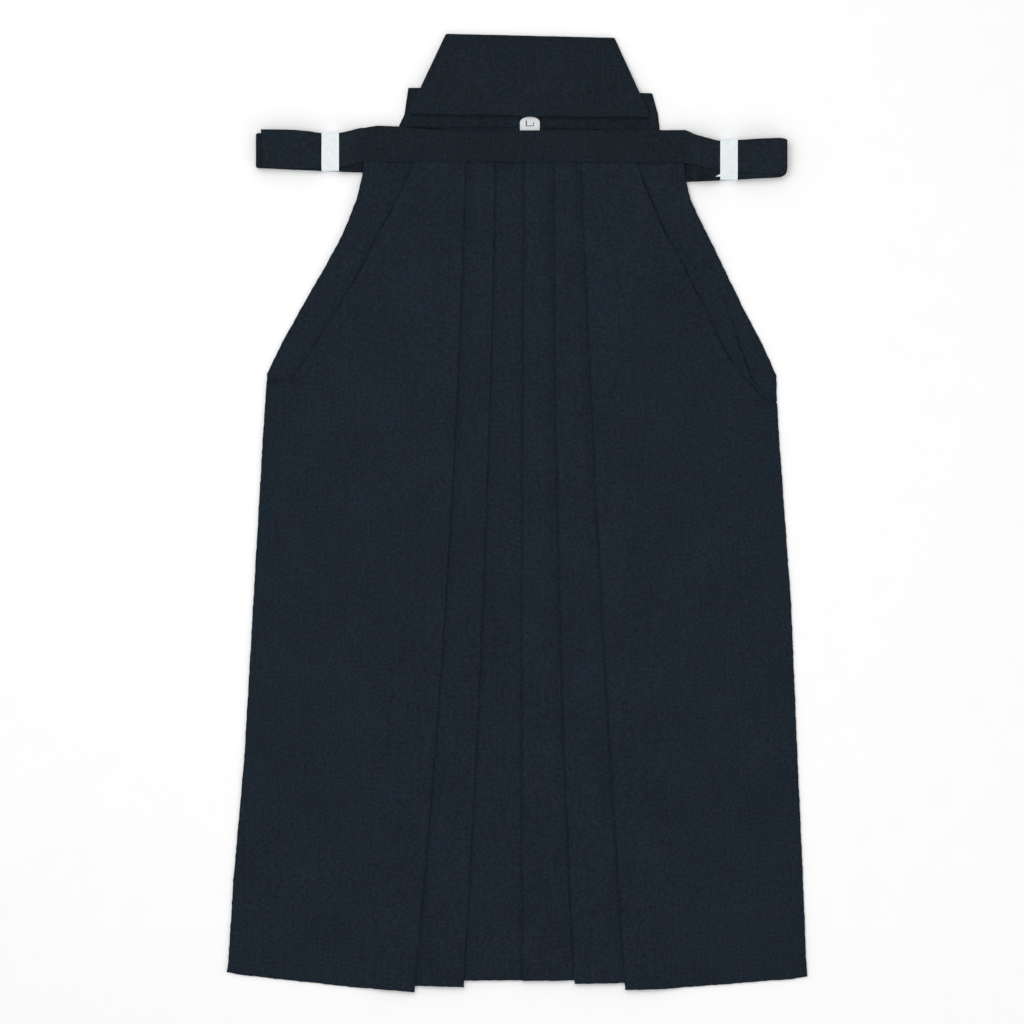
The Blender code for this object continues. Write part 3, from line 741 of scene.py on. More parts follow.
class Wall:
    """A wall of cloth through rows of places, and the size it was cut to."""

    def __init__(self, rows, spacing, rims=(True, True, True, True)):
        places = np.array(rows, float)
        self.flat, self.area = self.cut(places)
        places = refined(places, counts_for(places, spacing), True)
        turned = places.swapaxes(0, 1)
        places = refined(turned, counts_for(turned, spacing), False).swapaxes(0, 1)
        first_place, last_place, first_row, last_row = rims
        if first_place:
            places = rimmed(places, False)
        if last_place:
            places = rimmed(places, True)
        if first_row:
            places = rimmed(places.swapaxes(0, 1), False).swapaxes(0, 1)
        if last_row:
            places = rimmed(places.swapaxes(0, 1), True).swapaxes(0, 1)
        self.places = places

    @staticmethod
    def cut(places):
        """Width and length of the flat cloth, and its area, from the walked rows."""
        steps = np.nan_to_num(np.linalg.norm(np.diff(places[:, :, :2], axis=1), axis=2))
        widths = steps.sum(axis=1)
        heights = np.nanmean(places[:, :, ALONG], axis=1)
        area = abs(np.sum((widths[1:] + widths[:-1]) / 2 * np.diff(heights)))
        return (widths.max() * MM, abs(heights[0] - heights[-1]) * MM), area * MM * MM

    def sew(self, name, to_frame, material, thickness=None, lift=None, shape=None):
        """The wall as a mesh, as thick as the cloth is set to be where no thickness is given."""
        flat = self.places[np.isfinite(self.places[:, :, ACROSS])]
        rise = lift(flat) if lift else 0.0
        if thickness is None:
            thickness = bpy.context.scene.hakama_cloth.thickness / MM

        def to_points(across, along, up):
            place = to_frame(across, along, up + rise)
            return shape(*place) if shape else place

        piece = sew_wall(name, self.places, thickness, to_points, material)
        # Each place's painted shade, stored for the material
        set_shares(piece, "painted_shade", np.repeat(flat[:, SHADING], 2))
        return piece


# Finishes


# Sockets of a colour mix
MIX_FACTOR, MIX_FIRST, MIX_SECOND, MIX_RESULT = 0, 6, 7, 2


def set_inputs(made, values):
    for key, value in values.items():
        made.inputs[key].default_value = value


def new_material(name, values):
    """A material, its node tree, and its shader with the given values on its sockets."""
    material = bpy.data.materials.new(name)
    material.use_nodes = True
    tree = material.node_tree
    shader = tree.nodes["Principled BSDF"]
    set_inputs(shader, values)
    return material, tree, shader


def node(tree, kind, values=None, **settings):
    made = tree.nodes.new(kind)
    for key, value in settings.items():
        setattr(made, key, value)
    set_inputs(made, values or {})
    return made


def link(tree, from_node, output, to_node, socket):
    tree.links.new(from_node.outputs[output], to_node.inputs[socket])


def scaled(colour, share):
    return tuple(min(value * share, 1.0) for value in colour)


def joined(tree, kind, operation, *sources):
    """A node that works out one value from others, each given as a node and one of its outputs."""
    made = node(tree, kind, operation=operation)
    for socket, (source, output) in enumerate(sources):
        link(tree, source, output, made, socket)
    return made


def ranged(tree, source, output, values):
    """A source's output, spread over another range."""
    made = node(tree, "ShaderNodeMapRange", values)
    link(tree, source, output, made, "Value")
    return made


def mixed(tree, source, output, first, second):
    """A mix of two colours by a source's output."""
    values = {MIX_FIRST: (*first, 1.0), MIX_SECOND: (*second, 1.0)}
    mix = node(tree, "ShaderNodeMix", values, data_type="RGBA")
    link(tree, source, output, mix, MIX_FACTOR)
    return mix


def dyed(tree, shader, source, output, base, dark, light):
    """Colour the shader between a darker and a lighter share of its base, by a source's output."""
    mix = mixed(tree, source, output, scaled(base, dark), scaled(base, light))
    link(tree, mix, MIX_RESULT, shader, "Base Color")


def bumped(tree, source, strength, distance, before=None):
    """A bump of a source's height, in millimetres, over the bump before it."""
    made = node(tree, "ShaderNodeBump", {"Strength": strength, "Distance": distance * MM})
    link(tree, source, "Fac", made, "Height")
    if before:
        link(tree, before, "Normal", made, "Normal")
    return made


def texture(tree, kind, values, stretch=(1.0, 1.0, 1.0), **settings):
    """A texture laid over the garment, in metres, and stretched."""
    made = node(tree, kind, values, **settings)
    mapping = node(tree, "ShaderNodeMapping", {"Scale": stretch})
    link(tree, node(tree, "ShaderNodeTexCoord"), "Object", mapping, "Vector")
    link(tree, mapping, "Vector", made, "Vector")
    return made


def noise(tree, scale, detail=2.0, roughness=0.55, distortion=0.0, stretch=(1.0, 1.0, 1.0)):
    values = {"Scale": scale, "Detail": detail, "Roughness": roughness, "Distortion": distortion}
    return texture(tree, "ShaderNodeTexNoise", values, stretch)


def navy_twill():
    """The twill of the legs."""
    return twill_finish("navy_twill", tuple(bpy.context.scene.hakama_cloth.colour))


def binding_twill(piece):
    """The twill of the waistband, ties and board, each painted lighter or darker for the light where it lies."""
    binding = tuple(bpy.context.scene.hakama_cloth.binding)
    return twill_finish(f"{piece}_twill", scaled(binding, BINDING_PAINTED_LIGHT[piece]))


def twill_finish(name, base):
    """Dyed twill: slanting ribs, mottled and cloudy dye, streaks along the warp, and painted shade along folds and
    edges.
    """
    found = bpy.data.materials.get(name)
    if found:
        return found
    values = {
        "Specular IOR Level": 0.12,
        "Sheen Weight": 0.06,
        "Sheen Roughness": 0.5,
        "Sheen Tint": (0.55, 0.72, 0.9, 1.0),
    }
    material, tree, shader = new_material(name, values)
    mottle = noise(tree, 330.0, detail=3.0)
    spread = ranged(tree, mottle, "Fac", {"From Min": 0.3, "From Max": 0.7})
    dye = mixed(tree, spread, "Result", scaled(base, 0.6), scaled(base, 1.43))
    cast = ranged(tree, noise(tree, 62.0, detail=3.0), "Fac", {"From Min": 0.36, "From Max": 0.64})
    tint = mixed(tree, cast, "Result", (1.14, 0.945, 0.97), (0.86, 1.055, 1.03))
    tinted = joined(tree, "ShaderNodeVectorMath", "MULTIPLY", (dye, MIX_RESULT), (tint, MIX_RESULT))
    clouds, streaks = noise(tree, 14.0, detail=4.0), noise(tree, 1.0, stretch=(420.0, 22.0, 60.0))
    shade = joined(tree, "ShaderNodeMath", "ADD", (clouds, "Fac"), (streaks, "Fac"))
    shade_range = ranged(tree, shade, "Value", {"From Min": 0.7, "From Max": 1.3, "To Min": 0.87, "To Max": 1.14})
    shaded = joined(tree, "ShaderNodeVectorMath", "SCALE", (tinted, "Vector"))
    link(tree, shade_range, "Result", shaded, "Scale")
    # Painted shade: the attribute read here, made uneven in patches along its length, darkens the colour toward 0.12
    # of the base
    painted_shade = node(tree, "ShaderNodeAttribute", attribute_name="painted_shade")
    patches = noise(tree, 1.0, stretch=(30.0, 75.0, 30.0))
    patchy = ranged(tree, patches, "Fac", {"From Min": 0.38, "From Max": 0.6, "To Min": 0.12, "To Max": 0.85})
    depth = joined(tree, "ShaderNodeMath", "MULTIPLY", (painted_shade, "Fac"), (patchy, "Result"))
    fold_shaded_colour = mixed(tree, depth, "Value", base, scaled(base, 0.12))
    link(tree, shaded, "Vector", fold_shaded_colour, MIX_FIRST)
    link(tree, fold_shaded_colour, MIX_RESULT, shader, "Base Color")
    link(tree, ranged(tree, mottle, "Fac", {"To Min": 0.8, "To Max": 0.9}), "Result", shader, "Roughness")
    values = {"Scale": twill_scale(), "Distortion": 0.6, "Detail": 1.0}
    ribs = texture(tree, "ShaderNodeTexWave", values, bands_direction="DIAGONAL")
    bump = None
    for source, strength, distance in (
        (ribs, 0.35, 0.12),
        (noise(tree, 900.0), 0.3, 0.15),
        (noise(tree, 110.0), 0.5, 0.5),
    ):
        bump = bumped(tree, source, strength, distance, before=bump)
    link(tree, bump, "Normal", shader, "Normal")
    return material


def twill_scale():
    """The wave texture's scale for the twill's pitch. Its diagonal bands lie this far apart at a scale of one."""
    diagonal_bands = 0.444
    return diagonal_bands / bpy.context.scene.hakama_cloth.twill_pitch


def thread_finish(name, base):
    """Matt twisted thread."""
    material, tree, shader = new_material(name, {"Roughness": 0.7, "Specular IOR Level": 0.2})
    values = {"Scale": 700.0, "Distortion": 1.0}
    twist = texture(tree, "ShaderNodeTexWave", values, bands_direction="DIAGONAL")
    dyed(tree, shader, twist, "Fac", base, 0.7, 1.25)
    link(tree, bumped(tree, twist, 0.4, 0.1), "Normal", shader, "Normal")
    return material


def band_paper():
    """Smooth white paper with faint fibres and a few soft dents."""
    base = tuple(bpy.context.scene.hakama_trim.paper)
    material, tree, shader = new_material("band_paper", {"Specular IOR Level": 0.3, "Roughness": 0.6})
    fibres = noise(tree, 1.0, detail=3.0, roughness=0.65, stretch=(900.0, 260.0, 600.0))
    clouds = noise(tree, 120.0, roughness=0.5)
    both = joined(tree, "ShaderNodeMath", "ADD", (fibres, "Fac"), (clouds, "Fac"))
    spread = ranged(tree, both, "Value", {"From Min": 0.7, "From Max": 1.3})
    dyed(tree, shader, spread, "Result", base, 0.93, 1.05)
    link(tree, bumped(tree, clouds, 0.4, 0.3), "Normal", shader, "Normal")
    return material


def moulded_plastic():
    """Satin white plastic with the faint flow and grain of its mould."""
    base = tuple(bpy.context.scene.hakama_trim.spatula)
    material, tree, shader = new_material("moulded_plastic", {"Specular IOR Level": 0.45, "Coat Weight": 0.08})
    flow = noise(tree, 1.0, roughness=0.5, distortion=0.6, stretch=(170.0, 50.0, 80.0))
    dyed(tree, shader, flow, "Fac", base, 0.94, 1.05)
    link(tree, ranged(tree, flow, "Fac", {"To Min": 0.3, "To Max": 0.45}), "Result", shader, "Roughness")
    link(tree, bumped(tree, noise(tree, 1400.0, roughness=0.5), 0.12, 0.1), "Normal", shader, "Normal")
    return material


def pale_floor():
    base = tuple(bpy.context.scene.hakama_stage.floor)
    material, tree, shader = new_material("pale_floor", {"Roughness": 0.9, "Specular IOR Level": 0.1})
    dyed(tree, shader, noise(tree, 30.0, detail=4.0, roughness=0.5), "Fac", base, 0.985, 1.015)
    return material


# Front legs


def front_folds(side, height):
    """Each pleat's fold edge and hidden depth, from the side to the centre, in distances that rise inward."""
    edges = [-mirror_of(side) * fold_edge(name, height) for name in LEG_FOLDS[side]]
    spacings = [edges[1] - edges[0]] + [after - before for before, after in zip(edges, edges[1:])]
    return [(edge, PLEAT_SHARE * spacing) for edge, spacing in zip(edges, spacings)]


def strip_crease(row, side, height, low, edge, fold):
    """A narrow standing crease along the strip outside the side fold, its inner flank painted with shade."""
    share, lift = (float(interpolate(height, STRIP_CREASES[side], column)) for column in (1, 2))
    middle = fold + share * (edge - fold)
    # The last number of each place is how dark it is painted with shade, on the crease's inner flank
    for reach, rise, dark in ((2.4, 0.0, 0.0), (0.9, 0.8, 0.3), (0.0, 1.0, 0.9), (-0.9, 0.3, 1.0), (-2.4, 0.0, 0.0)):
        reach *= min((edge - fold) / 12.0, 1.0)
        row.lie(-middle - reach, low + rise * lift, height, fold=dark * min(lift, 1.0))


def side_fold(row, side, height, low, edge, fold):
    """The slanting fold beside the side slit: the strip beside it, then three layers. Returns where it ends."""
    slit = slit_rows(side)
    share = (height - slit[-1][0]) / (slit[0][0] - slit[-1][0])
    depth = SIDE_FOLD_DEPTH_FOOT + share * (SIDE_FOLD_DEPTH_TOP - SIDE_FOLD_DEPTH_FOOT)
    turn, inner = -fold + FOLD_RADIUS, -fold + depth - FOLD_RADIUS
    row.lie(-edge, low, height)
    strip_crease(row, side, height, low, edge, fold)
    row.lie(turn, low, height)
    row.turn(inner, low, height, 1, 1)
    row.turn(turn, low, height, -1, 2)
    row.lie(inner, low, height)
    return -fold + depth + CLEAR


def outer_panel(row, side, height, start, along):
    """The outer panel's rise from the side, level 0 or 2, to the pleats at level 2."""
    low, high = sides_base(height), plateau(height)
    edge, depth = front_folds(side, height)[0]
    level_end = edge - depth - CLEAR
    room = level_end - start
    slope_start = level_end - min(PLEAT_SLOPE, 0.25 * room)
    between = 2 * (1 - float(smooth((room - 16) / 60)))
    row.lie(start, low, along(start))
    for level, base, across in (
        (between, low, start + min(SIDE_SLOPE, 0.2 * room)),
        (between, low, slope_start - min(PLATEAU_SLOPE, 0.4 * room)),
        (between, high, slope_start),
        (2, high, level_end),
    ):
        row.level = level
        row.lie(across, base, along(across))


def pleats(row, side, height, at_hem, outer_along):
    """The pleats from the outer panel's to the centre's. Each folds under and comes out again below."""
    high = plateau(height)
    folds = front_folds(side, height)
    along = outer_along
    # The pleats' edges get less painted shade than the side fold
    row.shade_share = PLEAT_SHADE
    for number, (edge, depth) in enumerate(folds):
        inner = edge - depth + FOLD_RADIUS
        turn = edge - FOLD_RADIUS
        last = number == len(folds) - 1
        first_hem, last_hem = INNER_HEMS[side][number]
        row.lie(inner, high, along(inner))
        row.turn(turn, high, along(turn), 1, 1)
        if last and side == "left":
            row.lie(edge - depth, high, first_hem if at_hem else height)
            return
        row.turn(inner, high, first_hem if at_hem else height, -1, 0)
        end = folds[number + 1][0] if not last else centre_end(height)

        def panel_along(across, start=inner, end=end, first=first_hem, final=last_hem):
            share = (across - start) / (end - start)
            return first + share * (final - first) if at_hem else height

        along = panel_along
        row.lie(turn, high, along(turn))
        if last:
            row.lie(end, high, along(end))
            return
        row.lie(edge + CLEAR, high, along(edge + CLEAR))
        row.level = 2
        level_start = end - folds[number + 1][1] - CLEAR
        row.lie(level_start, high, along(level_start))


def centre_end(height):
    """Where the lowest centre panel ends, under the centre fold."""
    edge, depth = front_folds("left", height)[-1]
    return -(edge - depth)


def front_row(side, height, edge, fold):
    """One row of a front leg, from its outer edge to the centre."""
    at_hem = height == HEM
    row = ClothRow()
    low = sides_base(height)

    def outer_along(across):
        return float(interpolate(-across, OUTER_HEMS[side])) if at_hem else height

    if fold is None:
        flap = ClothRow()
        side_fold(flap, side, PLEATS_FLAT, low, edge, edge - 2 * SIDE_FOLD_DEPTH_TOP)
        row.skip(len(flap.places) - 3)
        for inset in (0.0, PRESSED, 2 * PRESSED):
            row.lie(-edge + inset, low, outer_along(-edge + inset))
        start = -edge + 2 * CLEAR
    else:
        # Painted shade along the side fold, darker toward the top
        row.shade_share = float(interpolate(height, SIDE_FOLD_SHADE))
        start = side_fold(row, side, height, low, edge, fold)
        row.level = 2
    outer_panel(row, side, height, start, outer_along)
    pleats(row, side, height, at_hem, outer_along)
    return row.places


def dense_side(side, spacing):
    """The side table with rows added a spacing apart, but not across the slit's end or the hem."""
    rows = []
    table = LEG_SIDES[side]
    for entry, after in zip(table, table[1:]):
        rows.append(entry)
        if (entry[2] is None) != (after[2] is None):
            continue
        count = math.ceil((entry[0] - after[0]) / spacing)
        for step in range(1, count):
            share = step / count
            height, edge = (entry[i] + share * (after[i] - entry[i]) for i in (0, 1))
            fold = None if entry[2] is None else entry[2] + share * (after[2] - entry[2])
            if height > LAST_LEVEL_ROW:
                rows.append((height, edge, fold))
    return rows + [table[-1]]


def make_front_leg(side):
    spacing = grid_spacing()
    rows = [front_row(side, *entry) for entry in dense_side(side, spacing)]
    wall = Wall(rows, spacing, rims=(True, False, False, True))
    piece = wall.sew(
        f"front_{side}_leg_cloth",
        mirrored(-mirror_of(side)),
        navy_twill(),
        lift=lambda flat: pleat_lift(side, flat[:, ACROSS], flat[:, ALONG], flat[:, LEVEL]),
    )
    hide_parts(f"front_{side}_leg")


# Back legs and gusset


def back_top(side, across):
    """The height of the back's top edge, which meets the lower edges of the back ties."""
    tie = BACK_TIES[side]
    inner, outer = tie["inner_heights"][-1], tie["outer_heights"][-1]
    share = max(across - tie["inner"] - FOLD_RADIUS, 0.0) / (tie["outer_edges"][-1] - tie["inner"] - 2 * FOLD_RADIUS)
    return inner + share * (outer - inner) + 0.04


def back_row(side, height, slit):
    """One row of a back leg: the outer layer on the floor, turned in at the centre and back to the seam."""
    at_top, at_hem = height == PANEL_TOP, height == HEM
    edge = float(interpolate(height, LEG_SIDES[side])) - BACK_INSET
    if height > slit:
        foot = float(interpolate(slit, LEG_SIDES[side])) - BACK_INSET
        share = (height - slit) / (PANEL_TOP - slit)
        edge = foot + share * (BACK_TOP_HALF_WIDTHS[side] - foot)
    first, depth = front_folds(side, height)[0]
    room = first - depth - CLEAR + edge
    depth = -(first - depth - CLEAR - min(PLEAT_SLOPE, 0.25 * room)) - BACK_PLEAT_CLEAR
    depth = min(depth, edge - 4 * FOLD_RADIUS)

    def along(across):
        if at_top:
            return back_top(side, -across)
        if at_hem:
            return BACK_HEM_INNER - across / edge * (BACK_HEM_SIDE - BACK_HEM_INNER)
        return height

    row = ClothRow(face_up=False)
    centre, inner = -BACK_SEAM - FOLD_RADIUS, -depth + FOLD_RADIUS
    below_tie = min(-BACK_TIES[side]["inner"] - FOLD_RADIUS, centre - 3 * PRESSED)
    for across in (-edge, inner, below_tie):
        row.lie(across, 0.0, along(across))
    row.turn(centre, 0.0, along(centre), 1, 1)
    row.turn(inner, 0.0, along(inner), -1, 2)
    row.lie(-BACK_SEAM, 0.0, along(-BACK_SEAM))
    return row.places


def make_back_leg(side):
    slit = slit_rows(side)[-1][0]
    heights = [PANEL_TOP, PLEATS_FLAT, slit, GUSSET_TOP, -275.0, -495.0, HEM]
    rows = [back_row(side, height, slit) for height in heights]
    wall = Wall(rows, 1.6 * grid_spacing(), rims=(True, False, False, True))
    piece = wall.sew(f"back_{side}_leg_cloth", mirrored(-mirror_of(side)), navy_twill(), thickness=LAID_CLOTH)
    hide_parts(f"back_{side}_leg")


def make_gusset():
    middle = (GUSSET_TOP + GUSSET_FOOT) / 2
    reach = (GUSSET_TOP - GUSSET_FOOT) / 2
    rows = []
    for height in (GUSSET_TOP, middle, GUSSET_FOOT):
        row = ClothRow()
        half = max(GUSSET_HALF_WIDTH * (1 - abs(height - middle) / reach), 0.6)
        row.lie(-half, OVER_BACK, height)
        row.lie(half, OVER_BACK, height)
        rows.append(row.places)
    wall = Wall(rows, grid_spacing(), rims=(False, False, True, True))
    piece = wall.sew("gusset_cloth", mirrored(1.0), navy_twill())
    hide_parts("gusset")


# Waistband and ties


def waistband_row(across, top, lift):
    """The band's section at one place: its face, the turn over the front's top edge, and its inner part."""
    face = FACE_OVER_SIDES + lift * (FACE_OVER_PLEATS - FACE_OVER_SIDES) + LAID_CLOTH
    radius = (face - BAND_UNDERSIDE) / 2
    middle = BAND_UNDERSIDE + radius
    turn = top - radius
    walk = radius - LAID_CLOTH / 2
    foot = float(interpolate(across, ((WAISTBAND[0][0], WAISTBAND_FOOT[0]), (WAISTBAND[-1][0], WAISTBAND_FOOT[1]))))
    # Painted shade along the band's foot, where its edge lies over the legs
    dark = float(interpolate(across, FOOT_SHADE))
    places = [[foot, middle + walk, across, 0.0, 1.0, 2.0, 1.0, dark]]
    places.append([foot + PRESSED, middle + walk, across, 0.0, 1.0, 2.0, 1.0, 0.0])
    for step in range(WAISTBAND_TURN_STEPS + 1):
        angle = math.pi / 2 - math.pi * step / WAISTBAND_TURN_STEPS
        reach, rise = math.cos(angle), math.sin(angle)
        places.append([turn + walk * reach, middle + walk * rise, across, reach, rise, 1.0, 1.0, 0.0])
    places.append([WAISTBAND_INNER_FOOT, middle - walk, across, 0.0, -1.0, 0.0, 1.0, 0.0])
    return places


def waistband_shape(x, y, z):
    """Soft puckers along the band, and the pleats' folded edges showing through it."""
    on_face = smooth((z - 7.5) / 2) * smooth((y - WAISTBAND_FOOT[1]) / 6) * smooth((424.0 - y) / 8)
    through = 0.0
    for name in FOLD_EDGES:
        through = through + 0.4 * np.exp(-(((x - fold_edge(name, WAIST)) / 3.0) ** 2))
    puckers = 0.12 * np.sin(x / 3.1 + 1.5 * np.sin(x / 17.0)) * np.exp(-((y - 394.0) / 6.0) ** 2)
    return x, y, z + on_face * (through + puckers + 0.12 * np.sin(x / 13.0 + y / 9.0))


def make_waistband():
    spacing = grid_spacing()
    first, last = WAISTBAND[0][0], WAISTBAND[-1][0]
    count = math.ceil((last - first) / spacing)
    stops = sorted({row[0] for row in WAISTBAND} | {first + (last - first) * step / count for step in range(count)})
    stops = [first - SEAM_LEFT] + stops + [last + SEAM_LEFT]
    rows = [waistband_row(at, *(float(interpolate(at, WAISTBAND, column)) for column in (1, 2))) for at in stops]
    wall = Wall(rows, spacing, rims=(True, True, False, False))
    piece = wall.sew(
        "front_waistband_cloth",
        lambda height, across, up: (across, height, up),
        binding_twill("waistband"),
        shape=waistband_shape,
    )
    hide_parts("front_waistband")


def tie_row(tie, edge):
    """One long edge of a front tie: down from the waistband over its own runs, then to and fro below."""
    start, ramp_end = tie["start"], tie["start"] + RAMP
    top_level = TIE_RUNS - 1
    row = ClothRow(level=(FACE_OVER_SIDES - BUNDLE_BASE) / PITCH)

    def face_along(across):
        return float(interpolate(across, tie["face"], 1 + edge))

    def run_along(across, fold):
        if fold < 2 * tie["upper_folds"]:
            return face_along(across) - 0.3 * fold
        share = (across - tie["inner"]) / (tie["outer"] - tie["inner"])
        inner, outer = tie["edges_inner"][edge], tie["edges_outer"][edge]
        straight = inner + share * (outer - inner) + SIDE_SLIPS[fold] * (0.5 if edge else 1.0)
        return straight if edge else min(straight, face_along(across) - 0.5)

    def lie_between(first, last, fold):
        """A run's places on its way between two folds, painted with shade where it lies in the recess beside the
        waist.
        """
        for stop in sorted((entry[0] for entry in tie["face"]), reverse=last < first):
            if min(first, last) + 2 * PRESSED < stop < max(first, last) - 2 * PRESSED:
                in_recess = fold >= 2 * tie["upper_folds"] and stop < tie["band"][0] + 1.0
                row.lie(stop, BUNDLE_BASE, run_along(stop, fold), fold=RECESS_SHADE if in_recess else 0.0)

    row.lie(start, BUNDLE_BASE, face_along(start))
    row.lie(start + 0.3, BUNDLE_BASE, face_along(start + 0.3))
    row.level = top_level
    first_outer = tie["outer"] - FOLD_RADIUS - tie["outer_slips"][0]
    stops = [ramp_end] + [entry[0] for entry in tie["face"] if ramp_end + 1 < entry[0] < first_outer - 2 * PRESSED]
    for stop in stops:
        row.lie(stop, BUNDLE_BASE, face_along(stop))
    ramp_rise = BUNDLE_BASE + top_level * PITCH - FACE_OVER_SIDES
    for number, level in enumerate(range(top_level - 1, -1, -2)):
        outer = tie["outer"] - FOLD_RADIUS - tie["outer_slips"][number]
        row.turn(outer, BUNDLE_BASE, run_along(outer, 2 * number), 1, level)
        if level == 0:
            break
        rise = (BUNDLE_BASE + (level + 1) * PITCH - FACE_OVER_SIDES) / ramp_rise
        clear = max(tie["inner"], start + rise * RAMP + CLEAR) if rise > 0 else tie["inner"]
        inner = clear + INNER_SLIPS[number] + FOLD_RADIUS
        lie_between(outer, inner, 2 * number + 1)
        row.turn(inner, BUNDLE_BASE, run_along(inner, 2 * number + 1), -1, level - 1)
        next_outer = tie["outer"] - FOLD_RADIUS - tie["outer_slips"][number + 1]
        lie_between(inner, next_outer, 2 * number + 2)
    end = tie["inner"] + INNER_SLIPS[-1]
    lie_between(outer, end, 2 * len(INNER_SLIPS) - 1)
    row.lie(end, BUNDLE_BASE, run_along(end, 2 * len(INNER_SLIPS) - 1))
    return row.places


def bundle_shape(tie):
    """The bundle's give: it spreads a little beyond its band, its runs are full, and its outer corners blunt."""
    top = BUNDLE_BASE + TIE_RUNS * PITCH
    band_middle = sum(tie["band"]) / 2

    def shape(x, y, z):
        out = np.abs(x)
        share = np.clip((z - BUNDLE_BASE) / (top - BUNDLE_BASE), 0.0, 1.0)
        loose = smooth((out - tie["band"][1] - 1.0) / 26.0)
        middle = interpolate(out, tie["face"], 1) / 2 + interpolate(out, tie["face"], 2) / 2
        full = np.clip(1 - ((y - middle) / 21.0) ** 2, 0.0, 1.0)
        free = smooth((out - tie["start"] - 4.0) / 14.0) * (1 - np.exp(-(((out - band_middle) / 13.0) ** 4)))
        sink = loose * (BUNDLE_BASE - 0.15) * (1 - share)
        for (depth, length), toward in zip(tie["corners"], (-1.0, 1.0)):
            reach = np.clip((out - tie["outer"] + length) / length, 0.0, 1.0)
            near = smooth(-toward * (y - middle) / 18.0)
            y = y + toward * near * depth * (1 - np.sqrt(1 - 0.96 * reach**2))
        drawn_in = 1 - smooth((out - tie["start"] - 2.0) / 12.0) * z / CAMERA_HEIGHT
        return x * drawn_in, y * drawn_in, z - sink + share * (0.8 * loose + 0.7 * free * full)

    return shape


def make_front_tie(side):
    tie = FRONT_TIES[side]
    rows = [tie_row(tie, edge) for edge in (0, 1)]
    wall = Wall(rows, grid_spacing(), rims=(False, True, True, True))
    name, material = f"front_tie_{side}_cloth", binding_twill("tie")
    piece = wall.sew(name, mirrored(mirror_of(side)), material, shape=bundle_shape(tie))
    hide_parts(f"front_tie_{side}")


def make_back_tie(side):
    """A back tie, folded to and fro under the board, with slanting outer folds."""
    tie = BACK_TIES[side]
    inner = tie["inner"] + FOLD_RADIUS
    rows = []
    for edge in range(len(tie["outer_edges"])):
        row = ClothRow()
        row.lie(inner - FOLD_RADIUS, 0.0, tie["inner_heights"][edge])
        for level in range(1, BACK_TIE_RUNS):
            if level % 2:
                outer = tie["outer_edges"][edge] - FOLD_RADIUS - 0.5 * (level > 1)
                row.turn(outer, 0.0, tie["outer_heights"][edge], 1, level)
            else:
                row.turn(inner, 0.0, tie["inner_heights"][edge], -1, level)
        row.lie(inner - FOLD_RADIUS, 0.0, tie["inner_heights"][edge])
        rows.append(row.places)
    wall = Wall(rows, grid_spacing())
    piece = wall.sew(f"back_tie_{side}_cloth", mirrored(mirror_of(side)), binding_twill("board"))
    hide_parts(f"back_tie_{side}")


# Bands


def band_path(low, high, floor, roof, corner):
    """Points and outward directions round a section with rounded corners, from the far edge of its top."""
    path = [((low + high) / 2 + (high - low) * share, roof, 0.0, 1.0) for share in (0.42, 0.2, -0.05, -0.3)]
    corners = (
        (low + corner, roof - corner, 90.0),
        (low + corner, floor + corner, 180.0),
        (high - corner, floor + corner, 270.0),
        (high - corner, roof - corner, 360.0),
    )
    for along, up, start in corners:
        for step in range(7):
            angle = math.radians(start + 90.0 * step / 6)
            out_along, out_up = math.cos(angle), math.sin(angle)
            path.append((along + corner * out_along, up + corner * out_up, out_along, out_up))
        if start == 180.0:
            path += [(low + (high - low) * share, floor, 0.0, -1.0) for share in (0.25, 0.5, 0.75)]
    return path


def make_tie_band(side):
    """A strip of paper wrapped once round the folded tie, its end lapped over its start on top."""
    trim = bpy.context.scene.hakama_trim
    tie = FRONT_TIES[side]
    mirror = mirror_of(side)
    foot_side, top_side = tie["band_edges"][1], tie["band_edges"][0]
    paper = trim.paper_thickness / MM
    roof = BUNDLE_BASE + TIE_RUNS * PITCH
    path = band_path(foot_side, top_side, 0.3, roof + paper / 2 + 0.02, 1.1)
    lap = [(along, up + paper + 0.05, lean, rise) for along, up, lean, rise in path[:4]]
    tip, narrow, short = tie["band_lap"]
    end = (foot_side + short, lap[-1][1], 0.0, 1.0)
    path = path + lap + [(foot_side + short + 3.0, end[1], 0.0, 1.0), end]
    first, last = tie["band"]
    rows = []
    count = 8
    for step in range(count + 1):
        share = step / count
        places = []
        for number, (along, up, lean, rise) in enumerate(path):
            lapped = smooth((number - len(path) + len(lap) + 2) / 2.0)
            across = first + share * (last - first - narrow * lapped)
            if number == len(path) - 1:
                across += tip * (1 - share) ** 5
            dent = 0.1 * math.sin(share * 5.1 + along / 6.0) * (1 if rise > 0.9 else 0.3)
            places.append([along, up + lapped * abs(dent), across, lean, rise, 0.0, 1.0, 0.0])
        rows.append(places)
    piece = sew_wall(
        f"tie_band_{side}_paper",
        np.array(rows),
        paper,
        lambda height, across, up: (mirror * across, height, up),
        bpy.data.materials["band_paper"],
    )
    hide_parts(f"tie_band_{side}")


# Board and spatula


